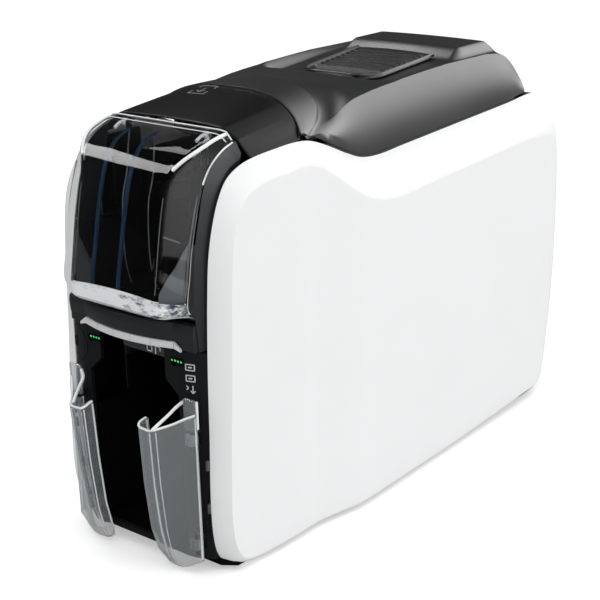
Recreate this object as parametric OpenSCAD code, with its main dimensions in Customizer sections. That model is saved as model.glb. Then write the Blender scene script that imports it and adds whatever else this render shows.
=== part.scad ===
/* [Body] */
// Length of the side panels, front edge to back
panel_l = 379; // [360:1:400]
// Half of the body's width at the front corners
front_half = 67.5; // [66:0.5:70]
// Half of the body's width where the flare begins
waist_half = 71; // [70.5:0.5:73]
// Half of the body's width over its rear two thirds
rear_half = 79; // [75:0.5:84]
// Distance from the front edge to the start of the flare
flare_start = 80; // [70:1:86]
// Distance from the front edge to the end of the flare
flare_end = 130; // [122:1:140]
// Height of the side panels' crest beside the hopper
crest_z = 250.6; // [249:0.2:251]
// Height of the side panels' dip beside the middle of the cover
dip_z = 226.3; // [225:0.1:227]
// Height of the side panels' top at the rear
tail_z = 233.2; // [231:0.2:233.6]
// Height of the side panels' lower edge above the floor
skirt_z = 3.2; // [2.6:0.1:4]
// Wall of the side panels
panel_wall = 2.6; // [2:0.1:3]
// Half of the gap between the panels' inner front edges
front_gap_half = 55; // [54.8:0.1:56]
// Half of the gap between the panels' inner top edges
top_gap_half = 62.6; // [62.4:0.1:63.5]

/* [Base] */
// Height of the rubber feet
foot_h = 3.6; // [3:0.1:5]
// Radius of the rubber feet
foot_r = 9; // [6:0.5:11]
// Thickness of the base tray's floor
tray_t = 3; // [2.5:0.1:3.6]
// Height of the base tray's rim above its floor
tray_rim = 12; // [8:0.5:16]
// Thickness of the base tray's rim
tray_wall = 2.5; // [2:0.1:3]

/* [Chassis] */
// Half of the distance between the chassis plates
chassis_half = 40; // [39:0.1:41]
// Thickness of the chassis plates
plate_t = 1.5; // [1.2:0.1:1.8]
// Height of the card path
path_z = 163; // [161:0.5:165]
// Radius of the transport rollers' rubber
roller_r = 8; // [7:0.1:8.5]
// Half of the length of the transport rollers' rubber
roller_half = 29; // [24:0.5:31]
// Radius of the roller shafts
shaft_r = 3; // [2.5:0.1:3.5]
// Wall of the shaft bushes
bush_wall = 2; // [1.5:0.1:2.4]
// Radial running clearance of shafts and pins
run_gap = 0.05; // [0.02:0.01:0.09]
// Radius of the pinch rollers
pinch_r = 6; // [5:0.1:7]
// Distance from the front edge to the pick roller
pick_y = 55; // [52:0.5:58]

/* [Gears] */
// Module of the gear teeth
gear_m = 1; // [1:0.05:1.05]
// Width of the gears
gear_w = 5; // [4:0.2:6]
// Teeth of the roller gears
roller_teeth = 24; // [24:24:24]
// Teeth of the idler gears
idler_teeth = 36; // [36:36:36]
// Teeth of the motor pinion
pinion_teeth = 12; // [12:12:12]
// Radius of the idler studs
stud_r = 2; // [1.6:0.1:2.4]

/* [Card hopper] */
// Width of a card
card_w = 54; // [54:0.1:55]
// Length of a card
card_l = 85.6; // [85:0.1:86]
// Height of the stack that the hopper holds
stack_h = 78; // [74:1:80]
// Side clearance of a card in the hopper
card_gap = 1.5; // [1:0.1:2]
// Wall of the hopper and tray mouldings
mould_wall = 2; // [1.6:0.1:2.4]

/* [Hopper door] */
// Half of the width of the door's flat front
door_flat_half = 32; // [30:0.5:34]
// Half of the width of the door at its back edge
door_half = 50; // [49.5:0.1:50.2]
// Wall of the clear door
door_wall = 1.8; // [1.4:0.1:2.2]
// Radius of the door's hinge pins
door_pin_r = 0.8; // [0.6:0.05:0.9]

/* [Front] */
// Height of the seam between the bezel and the lower front plate
seam_z = 142; // [140:0.5:144]
// Half of the width of the lower front plate
plate_half = 54.5; // [54:0.1:54.6]
// Thickness of the lower front plate
front_t = 2.6; // [2:0.1:3]
// Half of the width of the card outlet's upper part
outlet_upper_half = 26.6; // [24:0.2:27.4]
// Half of the width of the card outlet's lower part
outlet_lower_half = 36.4; // [35.6:0.1:37]
// Travel of the power button
button_travel = 1.2; // [0.8:0.1:1.5]
// Radius of the power button
button_r = 11; // [9:0.5:12]

/* [Tray wings] */
// How far the wings stand in front of the side panels
wing_reach = 19; // [17:0.5:20]
// Distance of the wings' inner walls from the middle
wing_inner = 22; // [20:0.5:24]
// Distance of the wings' outer walls from the middle
wing_outer = 36.4; // [35:0.2:37]
// Height of the wings' upper edge at the front
wing_top = 97; // [90:1:100]
// Wall of the clear wings
wing_wall = 1.8; // [1.4:0.1:2.2]
// Distance of the wing hinges from the middle
wing_pin_x = 47.6; // [46.6:0.1:48.4]
// Radius of the wing hinge pins
wing_pin_r = 1.2; // [1:0.05:1.4]

/* [Top cover] */
// Height of the cover's highest line
cover_top = 275; // [272:0.5:278]
// Half of the width of the cover's crown
crown_half = 50; // [48:0.5:52]
// Half of the width of the cover at its lower edge
cover_half = 62; // [61.6:0.1:62.2]
// Wall of the top cover
cover_wall = 2.5; // [2:0.1:3]
// Distance from the panels' back edge to the cover's hinge pin
hinge_back = 36; // [34:0.5:38]
// Height of the cover's hinge pin
hinge_z = 240; // [239:0.5:241]
// Radius of the cover's hinge pin
hinge_r = 2.5; // [2:0.1:3]

/* [Hidden] */
$fn = 48;
// Small gap between bodies and between seated pieces
gap = 0.3;
// Overrun of cuts
over = 1;
overall_l = panel_l + wing_reach;
front_y = -overall_l / 2 + wing_reach;
hinge_y = panel_l - hinge_back;
base_z = foot_h;
floor_z = base_z + tray_t;
sides = [-1, 1];

// Smooth step from 0 at a to 1 at b
function ease(x, a, b) = let(t = min(1, max(0, (x - a) / (b - a)))) t * t * (3 - 2 * t);
function mix(a, b, t) = a + (b - a) * t;
function unit(v) = v / norm(v);

// Skin between two equal grids of points, closed round its four edges; seen from outside,
// the rows run upwards and each row runs to the right
module skin(top, under) {
    rows = len(top);
    cols = len(top[0]);
    count = rows * cols;
    points = concat([for (row = top) each row], [for (row = under) each row]);
    function upper(i, j) = i * cols + j;
    function lower(i, j) = count + i * cols + j;
    function quad(a, b, c, d) = [[a, b, c], [a, c, d]];
    faces = concat(
        [for (i = [0:rows - 2], j = [0:cols - 2])
            each quad(upper(i, j), upper(i + 1, j), upper(i + 1, j + 1), upper(i, j + 1))],
        [for (i = [0:rows - 2], j = [0:cols - 2])
            each quad(lower(i, j), lower(i, j + 1), lower(i + 1, j + 1), lower(i + 1, j))],
        [for (j = [0:cols - 2]) each quad(upper(0, j), upper(0, j + 1), lower(0, j + 1), lower(0, j))],
        [for (j = [0:cols - 2])
            each quad(upper(rows - 1, j + 1), upper(rows - 1, j), lower(rows - 1, j), lower(rows - 1, j + 1))],
        [for (i = [0:rows - 2]) each quad(upper(i + 1, 0), upper(i, 0), lower(i, 0), lower(i + 1, 0))],
        [for (i = [0:rows - 2])
            each quad(upper(i, cols - 1), upper(i + 1, cols - 1), lower(i + 1, cols - 1), lower(i, cols - 1))]);
    polyhedron(points, faces, convexity = 10);
}

// A cylinder along X, centred on its length
module rod_x(r, l) rotate([0, 90, 0]) cylinder(r = r, h = l, center = true);
// A profile drawn in Y and Z, carried along X from x0 to x1
module side_profile(x0, x1) translate([x0, 0, 0]) rotate([90, 0, 90]) linear_extrude(x1 - x0) children();
// A profile drawn in X and Z, carried along Y from y0 to y1
module front_profile(y0, y1) translate([0, y1, 0]) rotate([90, 0, 0]) linear_extrude(y1 - y0) children();
module box(x0, x1, y0, y1, z0, z1) translate([x0, y0, z0]) cube([x1 - x0, y1 - y0, z1 - z0]);
module mirrored() { children(); mirror([1, 0, 0]) children(); }

// Body outline: half width, top height and lower edge by distance from the front
flank_start = 12;
function half_w(y) = front_half + (waist_half - front_half) * ease(y, flank_start - 8, flare_start)
    + (rear_half - waist_half) * ease(y, flare_start, flare_end);
dip_start = 80;
dip_end = 160;
front_round = 42;
front_sink = 16;
function top_z(y) = crest_z - (crest_z - dip_z) * ease(y, dip_start, dip_end)
    + (tail_z - dip_z) * max(0, (y - dip_end) / (panel_l - dip_end))
    - front_sink * pow(max(0, 1 - y / front_round), 2);
tail_skirt = 4;
function low_z(y) = skirt_z + tail_skirt * ease(y, panel_l - 149, panel_l) + 5 * pow(max(0, 1 - y / 24), 2);
// Front and back edges of the panel by height
front_lean = 16;
function lead_y(z) = 5.5 + front_lean * pow(max(0, (z - 160) / 82), 1.9);
rear_lean = 16;
rear_nod = 8;
function tail_y(z) = panel_l - rear_lean * pow(max(0, 1 - z / 110), 1.5)
    - rear_nod * pow(max(0, (z - 150) / 85), 1.6);
// Depth of the bevel that rolls the panel in towards its top edge
function bevel_drop(y) = 13 + 12 * ease(y, dip_start, dip_end);
crease_back = 4.5;

// One panel's skin: k is the column from the front edge (0) to the rolled back edge,
// v is the row from the lower edge (0) to the top edge (1)
panel_cols = 22;
panel_rows = [0, 0.03, 0.12, 0.28, 0.44, 0.6, 0.76, 0.9, 1];
rear_r = 10;
function column_t(k) = (k - 1) / (panel_cols - 4);
function panel_point(k, v, inset) = let(
        zn = mix(skirt_z, crest_z, v),
        lead = lead_y(zn),
        tail = tail_y(zn),
        t = min(1, max(0, column_t(k))),
        roll = max(0, k - (panel_cols - 3)),
        y = k == 0 ? lead : mix(lead + crease_back, tail - rear_r, t) + rear_r * sin(roll * 45),
        side = k == 0 ? front_gap_half : half_w(y) - rear_r * (1 - cos(roll * 45)),
        top = top_z(y),
        low = low_z(y),
        drop = bevel_drop(y),
        z = v == 1 ? top : mix(low, top - drop, v / 0.9),
        x = v == 1 ? min(side, top_gap_half) : side,
        push = k == 0 ? [0, inset, 0] : k >= panel_cols - 1 ? [0, -inset, 0]
            : v == 1 ? [0, 0, -inset] : [-inset, k == 1 ? inset / 2 : 0, 0])
    [x, y, z] + push;
module side_panel_skin() {
    function sheet(inset) = [for (v = panel_rows) [for (k = [0:panel_cols - 1]) panel_point(k, v, inset)]];
    skin(sheet(0), sheet(panel_wall));
}
module right_side_panel() { color("whitesmoke") side_panel_skin(); }
module left_side_panel() { color("whitesmoke") mirror([1, 0, 0]) side_panel_skin(); }

// Outline of the base tray, which fills the plan between the side panels
function inner_half(y) = half_w(y) - panel_wall;
tray_front = 8;
tray_back = panel_l - rear_lean - 8;
module tray_outline(inset) {
    ys = [tray_front + inset, tray_front + 7, 40, flare_start, 92, 105, 118, flare_end, tray_back - inset];
    function edge_x(i) = (i == 0 ? front_gap_half + 1.4 : inner_half(ys[i])) - inset;
    polygon(concat([for (i = [0:len(ys) - 1]) [edge_x(i), ys[i]]],
        [for (i = [len(ys) - 1:-1:0]) [-edge_x(i), ys[i]]]));
}
side_gap = 1.2;
foot_y = [28, panel_l - 39];
foot_x = [50, 60];
foot_recess = 1.2;
module base_tray() {
    color("dimgray") difference() {
        translate([0, 0, base_z]) linear_extrude(tray_t + tray_rim) tray_outline(side_gap);
        translate([0, 0, floor_z]) linear_extrude(tray_rim + over) tray_outline(side_gap + tray_wall);
        for (i = [0, 1], s = sides)
            translate([s * foot_x[i], foot_y[i], base_z - over]) cylinder(r = foot_r + gap, h = foot_recess + over);
        box(-chassis_half, chassis_half, 0, tray_front + side_gap + tray_wall + over, floor_z, floor_z + tray_rim + over);
        for (i = [0:8], s = sides) box(s * 22 - 14, s * 22 + 14, 150 + i * 14, 156 + i * 14, base_z - over, floor_z + over);
    }
}
module rubber_feet() {
    color("black") for (i = [0, 1], s = sides) translate([s * foot_x[i], foot_y[i], 0]) rotate_extrude()
        polygon([[0, 0], [foot_r - 1.5, 0], [foot_r, 1.5], [foot_r, foot_h + foot_recess], [0, foot_h + foot_recess]]);
}

// Chassis plates stand on the tray and carry the shafts
plate_front = 34;
plate_back = panel_l - 28;
plate_top = 214;
door_pin_y = 38.4;
door_pin_z = 258.2;
ear_r = 1.4;
hopper_side_top = 192;
roller_z = path_z - roller_r;
pitch_step = gear_m * (roller_teeth + idler_teeth) / 2;
roller_y = [for (i = [0:3]) pick_y + 2 * i * pitch_step];
idler_y = [for (i = [0:2]) pick_y + (2 * i + 1) * pitch_step];
bush_r = shaft_r + run_gap + bush_wall;
pinion_z = roller_z - gear_m * (pinion_teeth + idler_teeth) / 2;
nip = 0.8;
pinch_z = path_z + nip + pinch_r;
pinch_shaft_r = 2;
cleaner_r = 6.5;
cleaner_y = pick_y + 46;
cleaner_z = path_z + nip + cleaner_r;
spool_r = 6;
supply_y = roller_y[2] + 56;
takeup_y = roller_y[2] - 50;
spool_z = path_z + 38;
tie_r = 3;
tie_spots = [[112, 42], [panel_l - 57, 50], [panel_l - 79, 190], [100, 130], [panel_l - 89, 120]];
motor_hole_r = 8;
latch_y = 196;
latch_z = 204;
weight_y = 99;
weight_z = 205;
arm_x = 20;
arm_t = 4;
weight_pin_r = 2;
module plate_outline() {
    polygon([[plate_front, floor_z], [plate_back, floor_z], [plate_back, 200], [plate_back - 12, plate_top],
        [112, plate_top], [100, hopper_side_top + 30], [plate_front + 20, hopper_side_top + 30],
        [plate_front, path_z - 6]]);
}
module chassis_plate(x0) {
    difference() {
        side_profile(x0, x0 + plate_t) plate_outline();
        for (y = roller_y) translate([x0, y, roller_z]) rod_x(bush_r, 4 * plate_t);
        for (y = [roller_y[1], roller_y[3]]) translate([x0, y, pinch_z]) rod_x(pinch_shaft_r + run_gap, 4 * plate_t);
        translate([x0, cleaner_y, cleaner_z]) rod_x(pinch_shaft_r + run_gap, 4 * plate_t);
        for (y = [supply_y, takeup_y]) translate([x0, y, spool_z]) rod_x(spool_r + run_gap, 4 * plate_t);
        translate([x0, weight_y, weight_z]) rod_x(weight_pin_r, 4 * plate_t);
        if (x0 > 0) translate([x0, idler_y[2], pinion_z]) rod_x(motor_hole_r, 4 * plate_t);
        for (spot = tie_spots) translate([x0, spot[0], spot[1]]) rod_x(tie_r / 2, 4 * plate_t);
    }
}
module right_chassis_plate() {
    color("lightsteelblue") {
        chassis_plate(chassis_half);
        for (y = idler_y) translate([chassis_half + plate_t + (gear_w + 4) / 2, y, roller_z]) rod_x(stud_r, gear_w + 4);
    }
}
module left_chassis_plate() { color("lightsteelblue") chassis_plate(-chassis_half - plate_t); }
module chassis_tie_rods() {
    color("silver") for (spot = tie_spots) translate([0, spot[0], spot[1]]) {
        rod_x(tie_r, 2 * chassis_half);
        rod_x(tie_r / 2, 2 * (chassis_half + plate_t) + 2);
    }
}
module roller_bushes() {
    color("tan") for (y = roller_y, s = sides) translate([s * (chassis_half + plate_t / 2), y, roller_z]) difference() {
        union() {
            rod_x(bush_r, plate_t);
            translate([-s * (plate_t / 2 + 0.5), 0, 0]) rod_x(bush_r + 1, 1);
        }
        rod_x(shaft_r + run_gap, 4 * plate_t);
    }
}

// Spur gear with straight flanked teeth in the XY plane
module gear_outline(teeth, turn) {
    pitch = gear_m * teeth / 2;
    tip = pitch + 0.8 * gear_m;
    root = pitch - 1.15 * gear_m;
    step = 360 / teeth;
    polygon([for (i = [0:teeth - 1]) each [
        for (p = [[root, -0.29], [pitch, -0.2], [tip, -0.1], [tip, 0.1], [pitch, 0.2], [root, 0.29]])
            p[0] * [cos(turn + step * (i + p[1])), sin(turn + step * (i + p[1]))]]]);
}
gear_x = chassis_half + plate_t + 1.2;
module gear_x_at(teeth, turn, bore) {
    side_profile(gear_x, gear_x + gear_w) difference() {
        gear_outline(teeth, turn);
        circle(bore);
    }
}
shaft_left = chassis_half + plate_t + 2;
module roller_shaft(y) {
    translate([0, y, roller_z]) {
        translate([(gear_x + gear_w + 1 - shaft_left) / 2, 0, 0]) rod_x(shaft_r, gear_x + gear_w + 1 + shaft_left);
        side_profile(gear_x, gear_x + gear_w) gear_outline(roller_teeth, 0);
    }
}
module roller_rubber(y, half) {
    translate([0, y, roller_z]) difference() {
        rod_x(roller_r, 2 * half);
        rod_x(shaft_r, 2 * half + 2);
    }
}
module pick_shaft() { color("silver") roller_shaft(roller_y[0]); }
module feed_shaft() { color("silver") roller_shaft(roller_y[1]); }
module platen_shaft() { color("silver") roller_shaft(roller_y[2]); }
module exit_shaft() { color("silver") roller_shaft(roller_y[3]); }
pick_half = 12;
module pick_roller() { color("darkgray") roller_rubber(roller_y[0], pick_half); }
module feed_roller() { color("darkgray") roller_rubber(roller_y[1], roller_half); }
module platen_roller() { color("dimgray") roller_rubber(roller_y[2], roller_half); }
module exit_roller() { color("darkgray") roller_rubber(roller_y[3], roller_half); }
module idler_gear(y) {
    color("ivory") translate([0, y, roller_z]) gear_x_at(idler_teeth, 180 / idler_teeth, stud_r + run_gap);
}
module front_idler_gear() { idler_gear(idler_y[0]); }
module middle_idler_gear() { idler_gear(idler_y[1]); }
module rear_idler_gear() { idler_gear(idler_y[2]); }

motor_size = 34;
motor_l = 32;
motor_shaft_r = 2.5;
module drive_motor() {
    color("gray") difference() {
        translate([chassis_half - motor_l, idler_y[2] - motor_size / 2, pinion_z - motor_size / 2])
            cube([motor_l, motor_size, motor_size]);
        translate([chassis_half, idler_y[2], pinion_z]) rod_x(motor_shaft_r + run_gap, 2 * 14);
    }
}
module motor_pinion() {
    color("goldenrod") translate([0, idler_y[2], pinion_z]) {
        side_profile(gear_x, gear_x + gear_w) gear_outline(pinion_teeth, 0);
        translate([(chassis_half - 13 + gear_x) / 2, 0, 0]) rod_x(motor_shaft_r, gear_x - chassis_half + 13);
    }
}
module pinch_roller(y, z, r) {
    translate([0, y, z]) {
        rod_x(r, 2 * roller_half);
        rod_x(pinch_shaft_r, 2 * (chassis_half + plate_t) + 1);
    }
}
module feed_pinch_roller() { color("silver") pinch_roller(roller_y[1], pinch_z, pinch_r); }
module exit_pinch_roller() { color("silver") pinch_roller(roller_y[3], pinch_z, pinch_r); }
module cleaning_roller() { color("hotpink") pinch_roller(cleaner_y, cleaner_z, cleaner_r); }

// Card hopper above the path, open to the front and the top
hopper_half = card_w / 2 + card_gap;
hopper_front = 2;
stack_front = 4.6;
hopper_back = stack_front + card_l + 1.4;
hopper_top = path_z + stack_h;
pick_slot = roller_r + 1.2;
module card_hopper() {
    color("dimgray") difference() {
        box(-hopper_half - mould_wall, hopper_half + mould_wall, hopper_front, hopper_back + mould_wall,
            path_z - mould_wall, hopper_top);
        box(-hopper_half, hopper_half, hopper_front - over, hopper_back, path_z, hopper_top + over);
        box(-hopper_half, hopper_half, hopper_back - over, hopper_back + mould_wall + over, path_z, path_z + nip + 0.7);
        box(-pick_half - 1.5, pick_half + 1.5, roller_y[0] - pick_slot, roller_y[0] + pick_slot,
            path_z - mould_wall - over, path_z + over);
        for (s = sides) box(s * (hopper_half + mould_wall / 2) - mould_wall, s * (hopper_half + mould_wall / 2) + mould_wall,
            hopper_front - over, hopper_front + 22, path_z + 45, hopper_top + over);
        for (s = sides) box(s * arm_x - arm_t, s * arm_x + arm_t, hopper_back - over, hopper_back + mould_wall + over,
            path_z + 5, hopper_top + over);
    }
    color("dimgray") for (s = sides) side_profile(s * (hopper_half + mould_wall / 2) - mould_wall / 2,
        s * (hopper_half + mould_wall / 2) + mould_wall / 2) difference() {
            union() {
                translate([door_pin_y, door_pin_z]) circle(ear_r);
                translate([door_pin_y - ear_r, hopper_top]) square([2 * ear_r, door_pin_z - hopper_top]);
            }
            translate([door_pin_y, door_pin_z]) circle(door_pin_r);
        }
}
// Gussets between the hopper's sides and the bezel, with a slanted top edge
gusset_y = 4;
module hopper_gussets() {
    color("slategray") mirrored() front_profile(gusset_y, gusset_y + mould_wall) polygon([
        [hopper_half + mould_wall, path_z - mould_wall], [cheek_in, path_z - mould_wall],
        [cheek_in, path_z + 43], [hopper_half + mould_wall, path_z + 10]]);
}
// Weight arm that presses on the stack, turned about a pin at the back of the hopper
weight_bore = weight_pin_r + run_gap;
module card_weight() {
    color("black") translate([0, weight_y, weight_z]) difference() {
        union() {
            rod_x(5, 2 * (hopper_half - 2));
            for (s = sides) side_profile(s * arm_x - arm_t + 1, s * arm_x + arm_t - 1)
                polygon([[-2, -4.5], [4, 2], [-12, 12], [-50, 16], [-58, 12], [-50, 9], [-14, 5]]);
            side_profile(-23, 23) polygon([[-58, 12], [-50, 16], [-44, 16], [-44, 13.5], [-50, 13]]);
        }
        rod_x(weight_bore, 2 * chassis_half);
    }
}
module card_weight_pin() {
    color("silver") translate([0, weight_y, weight_z]) rod_x(weight_pin_r, 2 * (chassis_half + plate_t) + 2);
}

// Output tray between the wings and the back of the outlet
out_back = 90;
out_half = outlet_lower_half - 1.6;
out_top = path_z - 52;
module output_tray() {
    color("gray") difference() {
        box(-out_half - mould_wall + 0.4, out_half + mould_wall - 0.4, front_t + 1.2, out_back + mould_wall,
            floor_z, out_top);
        box(-out_half + 1, out_half - 1, front_t, out_back, floor_z + 5, out_top + over);
        for (s = sides) box(s * out_half - 5, s * out_half + 5, front_t, 30, out_top - 22, out_top + over);
    }
}

// Lower front plate, flat in the middle and drawn back at its sides
flat_half = 38;
draw_back = 6;
function plate_y(x) = draw_back * pow(max(0, (abs(x) - flat_half) / (front_gap_half - flat_half)), 1.6);
plate_low = 9;
plate_xs = [-plate_half, -50, -46, -42, -flat_half, flat_half, 42, 46, 50, plate_half];
module plate_plan(back) {
    polygon(concat([for (x = plate_xs) [x, plate_y(x)]],
        [for (i = [len(plate_xs) - 1:-1:0]) [plate_xs[i], back + plate_y(plate_xs[i])]]));
}
led_x = 34;
led_z = 134;
button_x = -49;
button_z = 127;
wing_low = 6;
wing_pin_y = -0.8;
knuckle_r = wing_pin_r + 1.3;
knuckle_h = 7;
wing_hinge_zs = [14, 82];
module wing_ear(z) {
    for (s = sides) difference() {
        union() {
            translate([s * wing_pin_x, wing_pin_y, z]) cylinder(r = knuckle_r, h = 3);
            box(s * wing_pin_x - knuckle_r, s * wing_pin_x + knuckle_r, wing_pin_y, plate_y(wing_pin_x) + 1, z, z + 3);
        }
        translate([s * wing_pin_x, wing_pin_y, z - over]) cylinder(r = wing_pin_r, h = 3 + 2 * over);
    }
}
module lower_front_plate() {
    color("darkslategray") {
        difference() {
            translate([0, 0, plate_low]) linear_extrude(seam_z - plate_low - gap) plate_plan(front_t);
            front_profile(-over, 3 * front_t + draw_back) polygon([
                [-outlet_lower_half, plate_low + 4], [outlet_lower_half, plate_low + 4], [outlet_lower_half, 113],
                [outlet_upper_half, 122], [outlet_upper_half, seam_z + over], [-outlet_upper_half, seam_z + over],
                [-outlet_upper_half, 122], [-outlet_lower_half, 113]]);
            front_profile(-over, 3 * front_t + draw_back) translate([button_x, button_z]) circle(button_r + gap);
            for (s = sides) translate([s * led_x, -over, led_z]) rotate([-90, 0, 0]) cylinder(r = 3, h = 3 * front_t);
        }
        for (z = [button_z - 14, button_z + 13]) translate([button_x + 2, plate_y(button_x + 2) + 1, z])
            rotate([-90, 0, 0]) cylinder(r = 1.6, h = 16 - plate_y(button_x + 2));
        for (z = wing_hinge_zs) { wing_ear(z); wing_ear(z + 3 + knuckle_h + 2 * gap); }
    }
}
tab_right = outlet_upper_half - gap;
module feed_slot_tab() {
    color("dimgray") box(-8, tab_right, 1.2, 5, 127, seam_z - 0.5);
}
bar_half = 36;
bar_end = 40;
bar_bow = 6;
function bar_y(x) = -bar_bow * (1 - pow(x / bar_half, 2)) - 1.6;
bar_xs = [for (i = [-6:6]) i * bar_half / 6];
module light_bar() {
    color("lightgray", 0.6) {
        translate([0, 0, seam_z + 0.6]) linear_extrude(4.4) polygon(concat(
            [for (x = bar_xs) [x, bar_y(x)]], [[bar_half, 0], [-bar_half, 0]]));
        mirrored() front_profile(-1.6, 0) polygon([[bar_half, seam_z + 0.6], [bar_half, seam_z + 5],
            [bar_end, seam_z + 0.6]]);
    }
}
module status_leds() {
    color("limegreen") for (s = sides) translate([s * led_x, 0.4, led_z]) rotate([-90, 0, 0])
        cylinder(r = 3 - gap / 3, h = front_t);
}
button_cap = 2.4;
button_edge = -plate_half + 0.2;
module power_button() {
    color("black") intersection() {
        front_profile(-2, 14) translate([button_x, button_z]) circle(button_r);
        box(button_edge, 0, -3, 14, 0, seam_z);
        union() {
            translate([0, -button_cap + 2.2, 0]) linear_extrude(seam_z) plate_plan(button_cap + 2);
            box(button_x - 3, button_x + 3, 3, 10.6, button_z - 3, button_z + 3);
        }
    }
}
module button_switch() {
    color("dimgray") box(button_x - 5, button_x + 5, 10.6 + button_travel + gap, 17, button_z - 6, button_z + 6);
    color("green") box(button_x - 5, button_x + 5, 17, 18.6, button_z - 16, button_z + 14.5);
}

// Door profile along its flat front (X inside door_flat_half) and along its back edge, as [Y, Z]
door_front = [[-2.5, 162], [-8, 161.6], [-11.8, 164.4], [-12.8, 170], [-11.4, 180], [-9.3, 192], [-6.4, 208],
    [-3, 224], [0.8, 237], [5.2, 246], [12, 252.8], [20.6, 257.4], [30, 260.4], [41.6, 262.6]];
door_rear = [[1, 163.6], [-2, 166], [-3.4, 170], [-3, 176], [-1.8, 184], [-0.6, 194], [1.6, 208],
    [5.4, 223], [9, 234], [14, 242.4], [20, 248], [26.4, 251.8], [33, 254.8], [41, 256.8]];
bezel_gap = 0.4;
function door_row(i, inset) = let(
        f = door_front[i],
        r = door_rear[i],
        a = door_front[max(0, i - 1)],
        b = door_front[min(len(door_front) - 1, i + 1)],
        along = unit([b[0] - a[0], b[1] - a[1]]),
        n = [along[1], -along[0]] * inset)
    [for (s = [[-1, 1], [-0.6, 0.5], [-0.1, 0], [0.1, 0], [0.6, 0.5], [1, 1]])
        let(side = sign(s[0]), w = s[1],
            x = side * mix(door_flat_half, door_half, w),
            y = mix(f[0], r[0], w == 0.5 ? 0.42 : w),
            z = mix(f[1], r[1], w == 0.5 ? 0.42 : w))
            [x - side * inset * w, y + n[0] * (1 - w * 0.6), z + n[1] * (1 - w * 0.6)]];
lug_x = hopper_half + mould_wall + gap;
fin_x = [-16, 3.5];
fin_t = 1.6;
module hopper_door() {
    rows = len(door_front);
    color("lightblue", 0.35) difference() {
        union() {
            skin([for (i = [0:rows - 1]) door_row(i, 0)], [for (i = [0:rows - 1]) door_row(i, door_wall)]);
            for (x = fin_x) side_profile(x - fin_t / 2, x + fin_t / 2) polygon([[-8.6, 172], [-9.6, 182],
                [-4.6, 208], [0, 226], [6, 240], [14, 249], [23, 254.6], [24, 250], [23, 238], [17, 223],
                [7, 209], [-1, 197], [-3, 186]]);
            mirrored() side_profile(lug_x, lug_x + 3) hull() {
                translate([door_pin_y, door_pin_z]) circle(2, $fn = 24);
                translate([door_pin_y - 8, door_pin_z - 0.4]) circle(1.6, $fn = 24);
            }
        }
        translate([0, door_pin_y, door_pin_z]) rod_x(door_pin_r + run_gap, 2 * door_half);
    }
}
module door_hinge_pins() {
    color("silver") mirrored() side_profile(hopper_half - 0.5, lug_x + 3.6) translate([door_pin_y, door_pin_z]) circle(door_pin_r);
}

// Bezel: cheeks at both sides of the door, with a chin under it
cheek_in = door_half + bezel_gap;
cheek_out = front_gap_half - 0.4;
chin_z = path_z - 4.4;
module front_bezel() {
    color("darkslategray") {
        mirrored() side_profile(cheek_in, cheek_out) polygon([[3, seam_z + gap], [-0.4, seam_z + gap], [-3.6, 166],
            [-3, 176], [-1.4, 190], [1.6, 208], [5.4, 223], [9, 234], [14, 242.4], [20, 248], [26.4, 251.8],
            [34, 255], [34, 150], [12, seam_z + gap]]);
        box(-cheek_in - 0.5, cheek_in + 0.5, 0.4, 4, seam_z + gap, chin_z);
        translate([0, 0, seam_z + 5.4]) linear_extrude(chin_z - seam_z - 5.4) polygon(concat(
            [for (x = bar_xs) [x, bar_y(x) + 0.6]], [[bar_end, 0.6], [-bar_end, 0.6]]));
    }
}

// Panel over the card hopper, rising towards the cover and tucked under its visor
visor_y = 105;
visor_sweep = 15;
function visor_edge(x) = visor_y - visor_sweep * pow(x / top_gap_half, 2);
panel_edge = [[-1, 62.1, 247.4], [-1, 58.5, 250.6], [-1, 52.6, 256.8], [-1, 41, 263.4], [-1, 14, 264.6],
    [1, 14, 264.6], [1, 41, 263.4], [1, 52.6, 256.8], [1, 58.5, 250.6], [1, 62.1, 247.4]];
top_panel_front = 42.2;
panel_lap = 4.5;
top_panel_rise = 5;
tuck = 3.4;
side_tuck = 4.6;
function top_panel_row(t, inset) =
    [for (i = [0:9]) let(p = panel_edge[i], rim = (i == 0 || i == 9) ? 0 : 1, mid = (i > 2 && i < 7) ? 1 : 0.5,
            edge = visor_edge(p[1]), y = mix(top_panel_front, edge + panel_lap, t))
        [p[0] * (p[1] - (rim == 0 ? inset : inset * (1 - mid)) - side_tuck * ease(y, edge - 9, edge - 4)), y,
            p[2] + top_panel_rise * pow(t, 0.8) * rim * min(1, mid + 0.35) - inset * mid * rim
                - tuck * ease(y, edge - 12, edge - 4)]];
top_panel_ts = [0, 0.15, 0.35, 0.58, 0.66, 0.74, 0.82, 0.9, 1];
top_panel_wall = 1.2;
module hopper_top_panel() {
    color("black") skin([for (t = top_panel_ts) top_panel_row(t, 0)], [for (t = top_panel_ts) top_panel_row(t, top_panel_wall)]);
}

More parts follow.
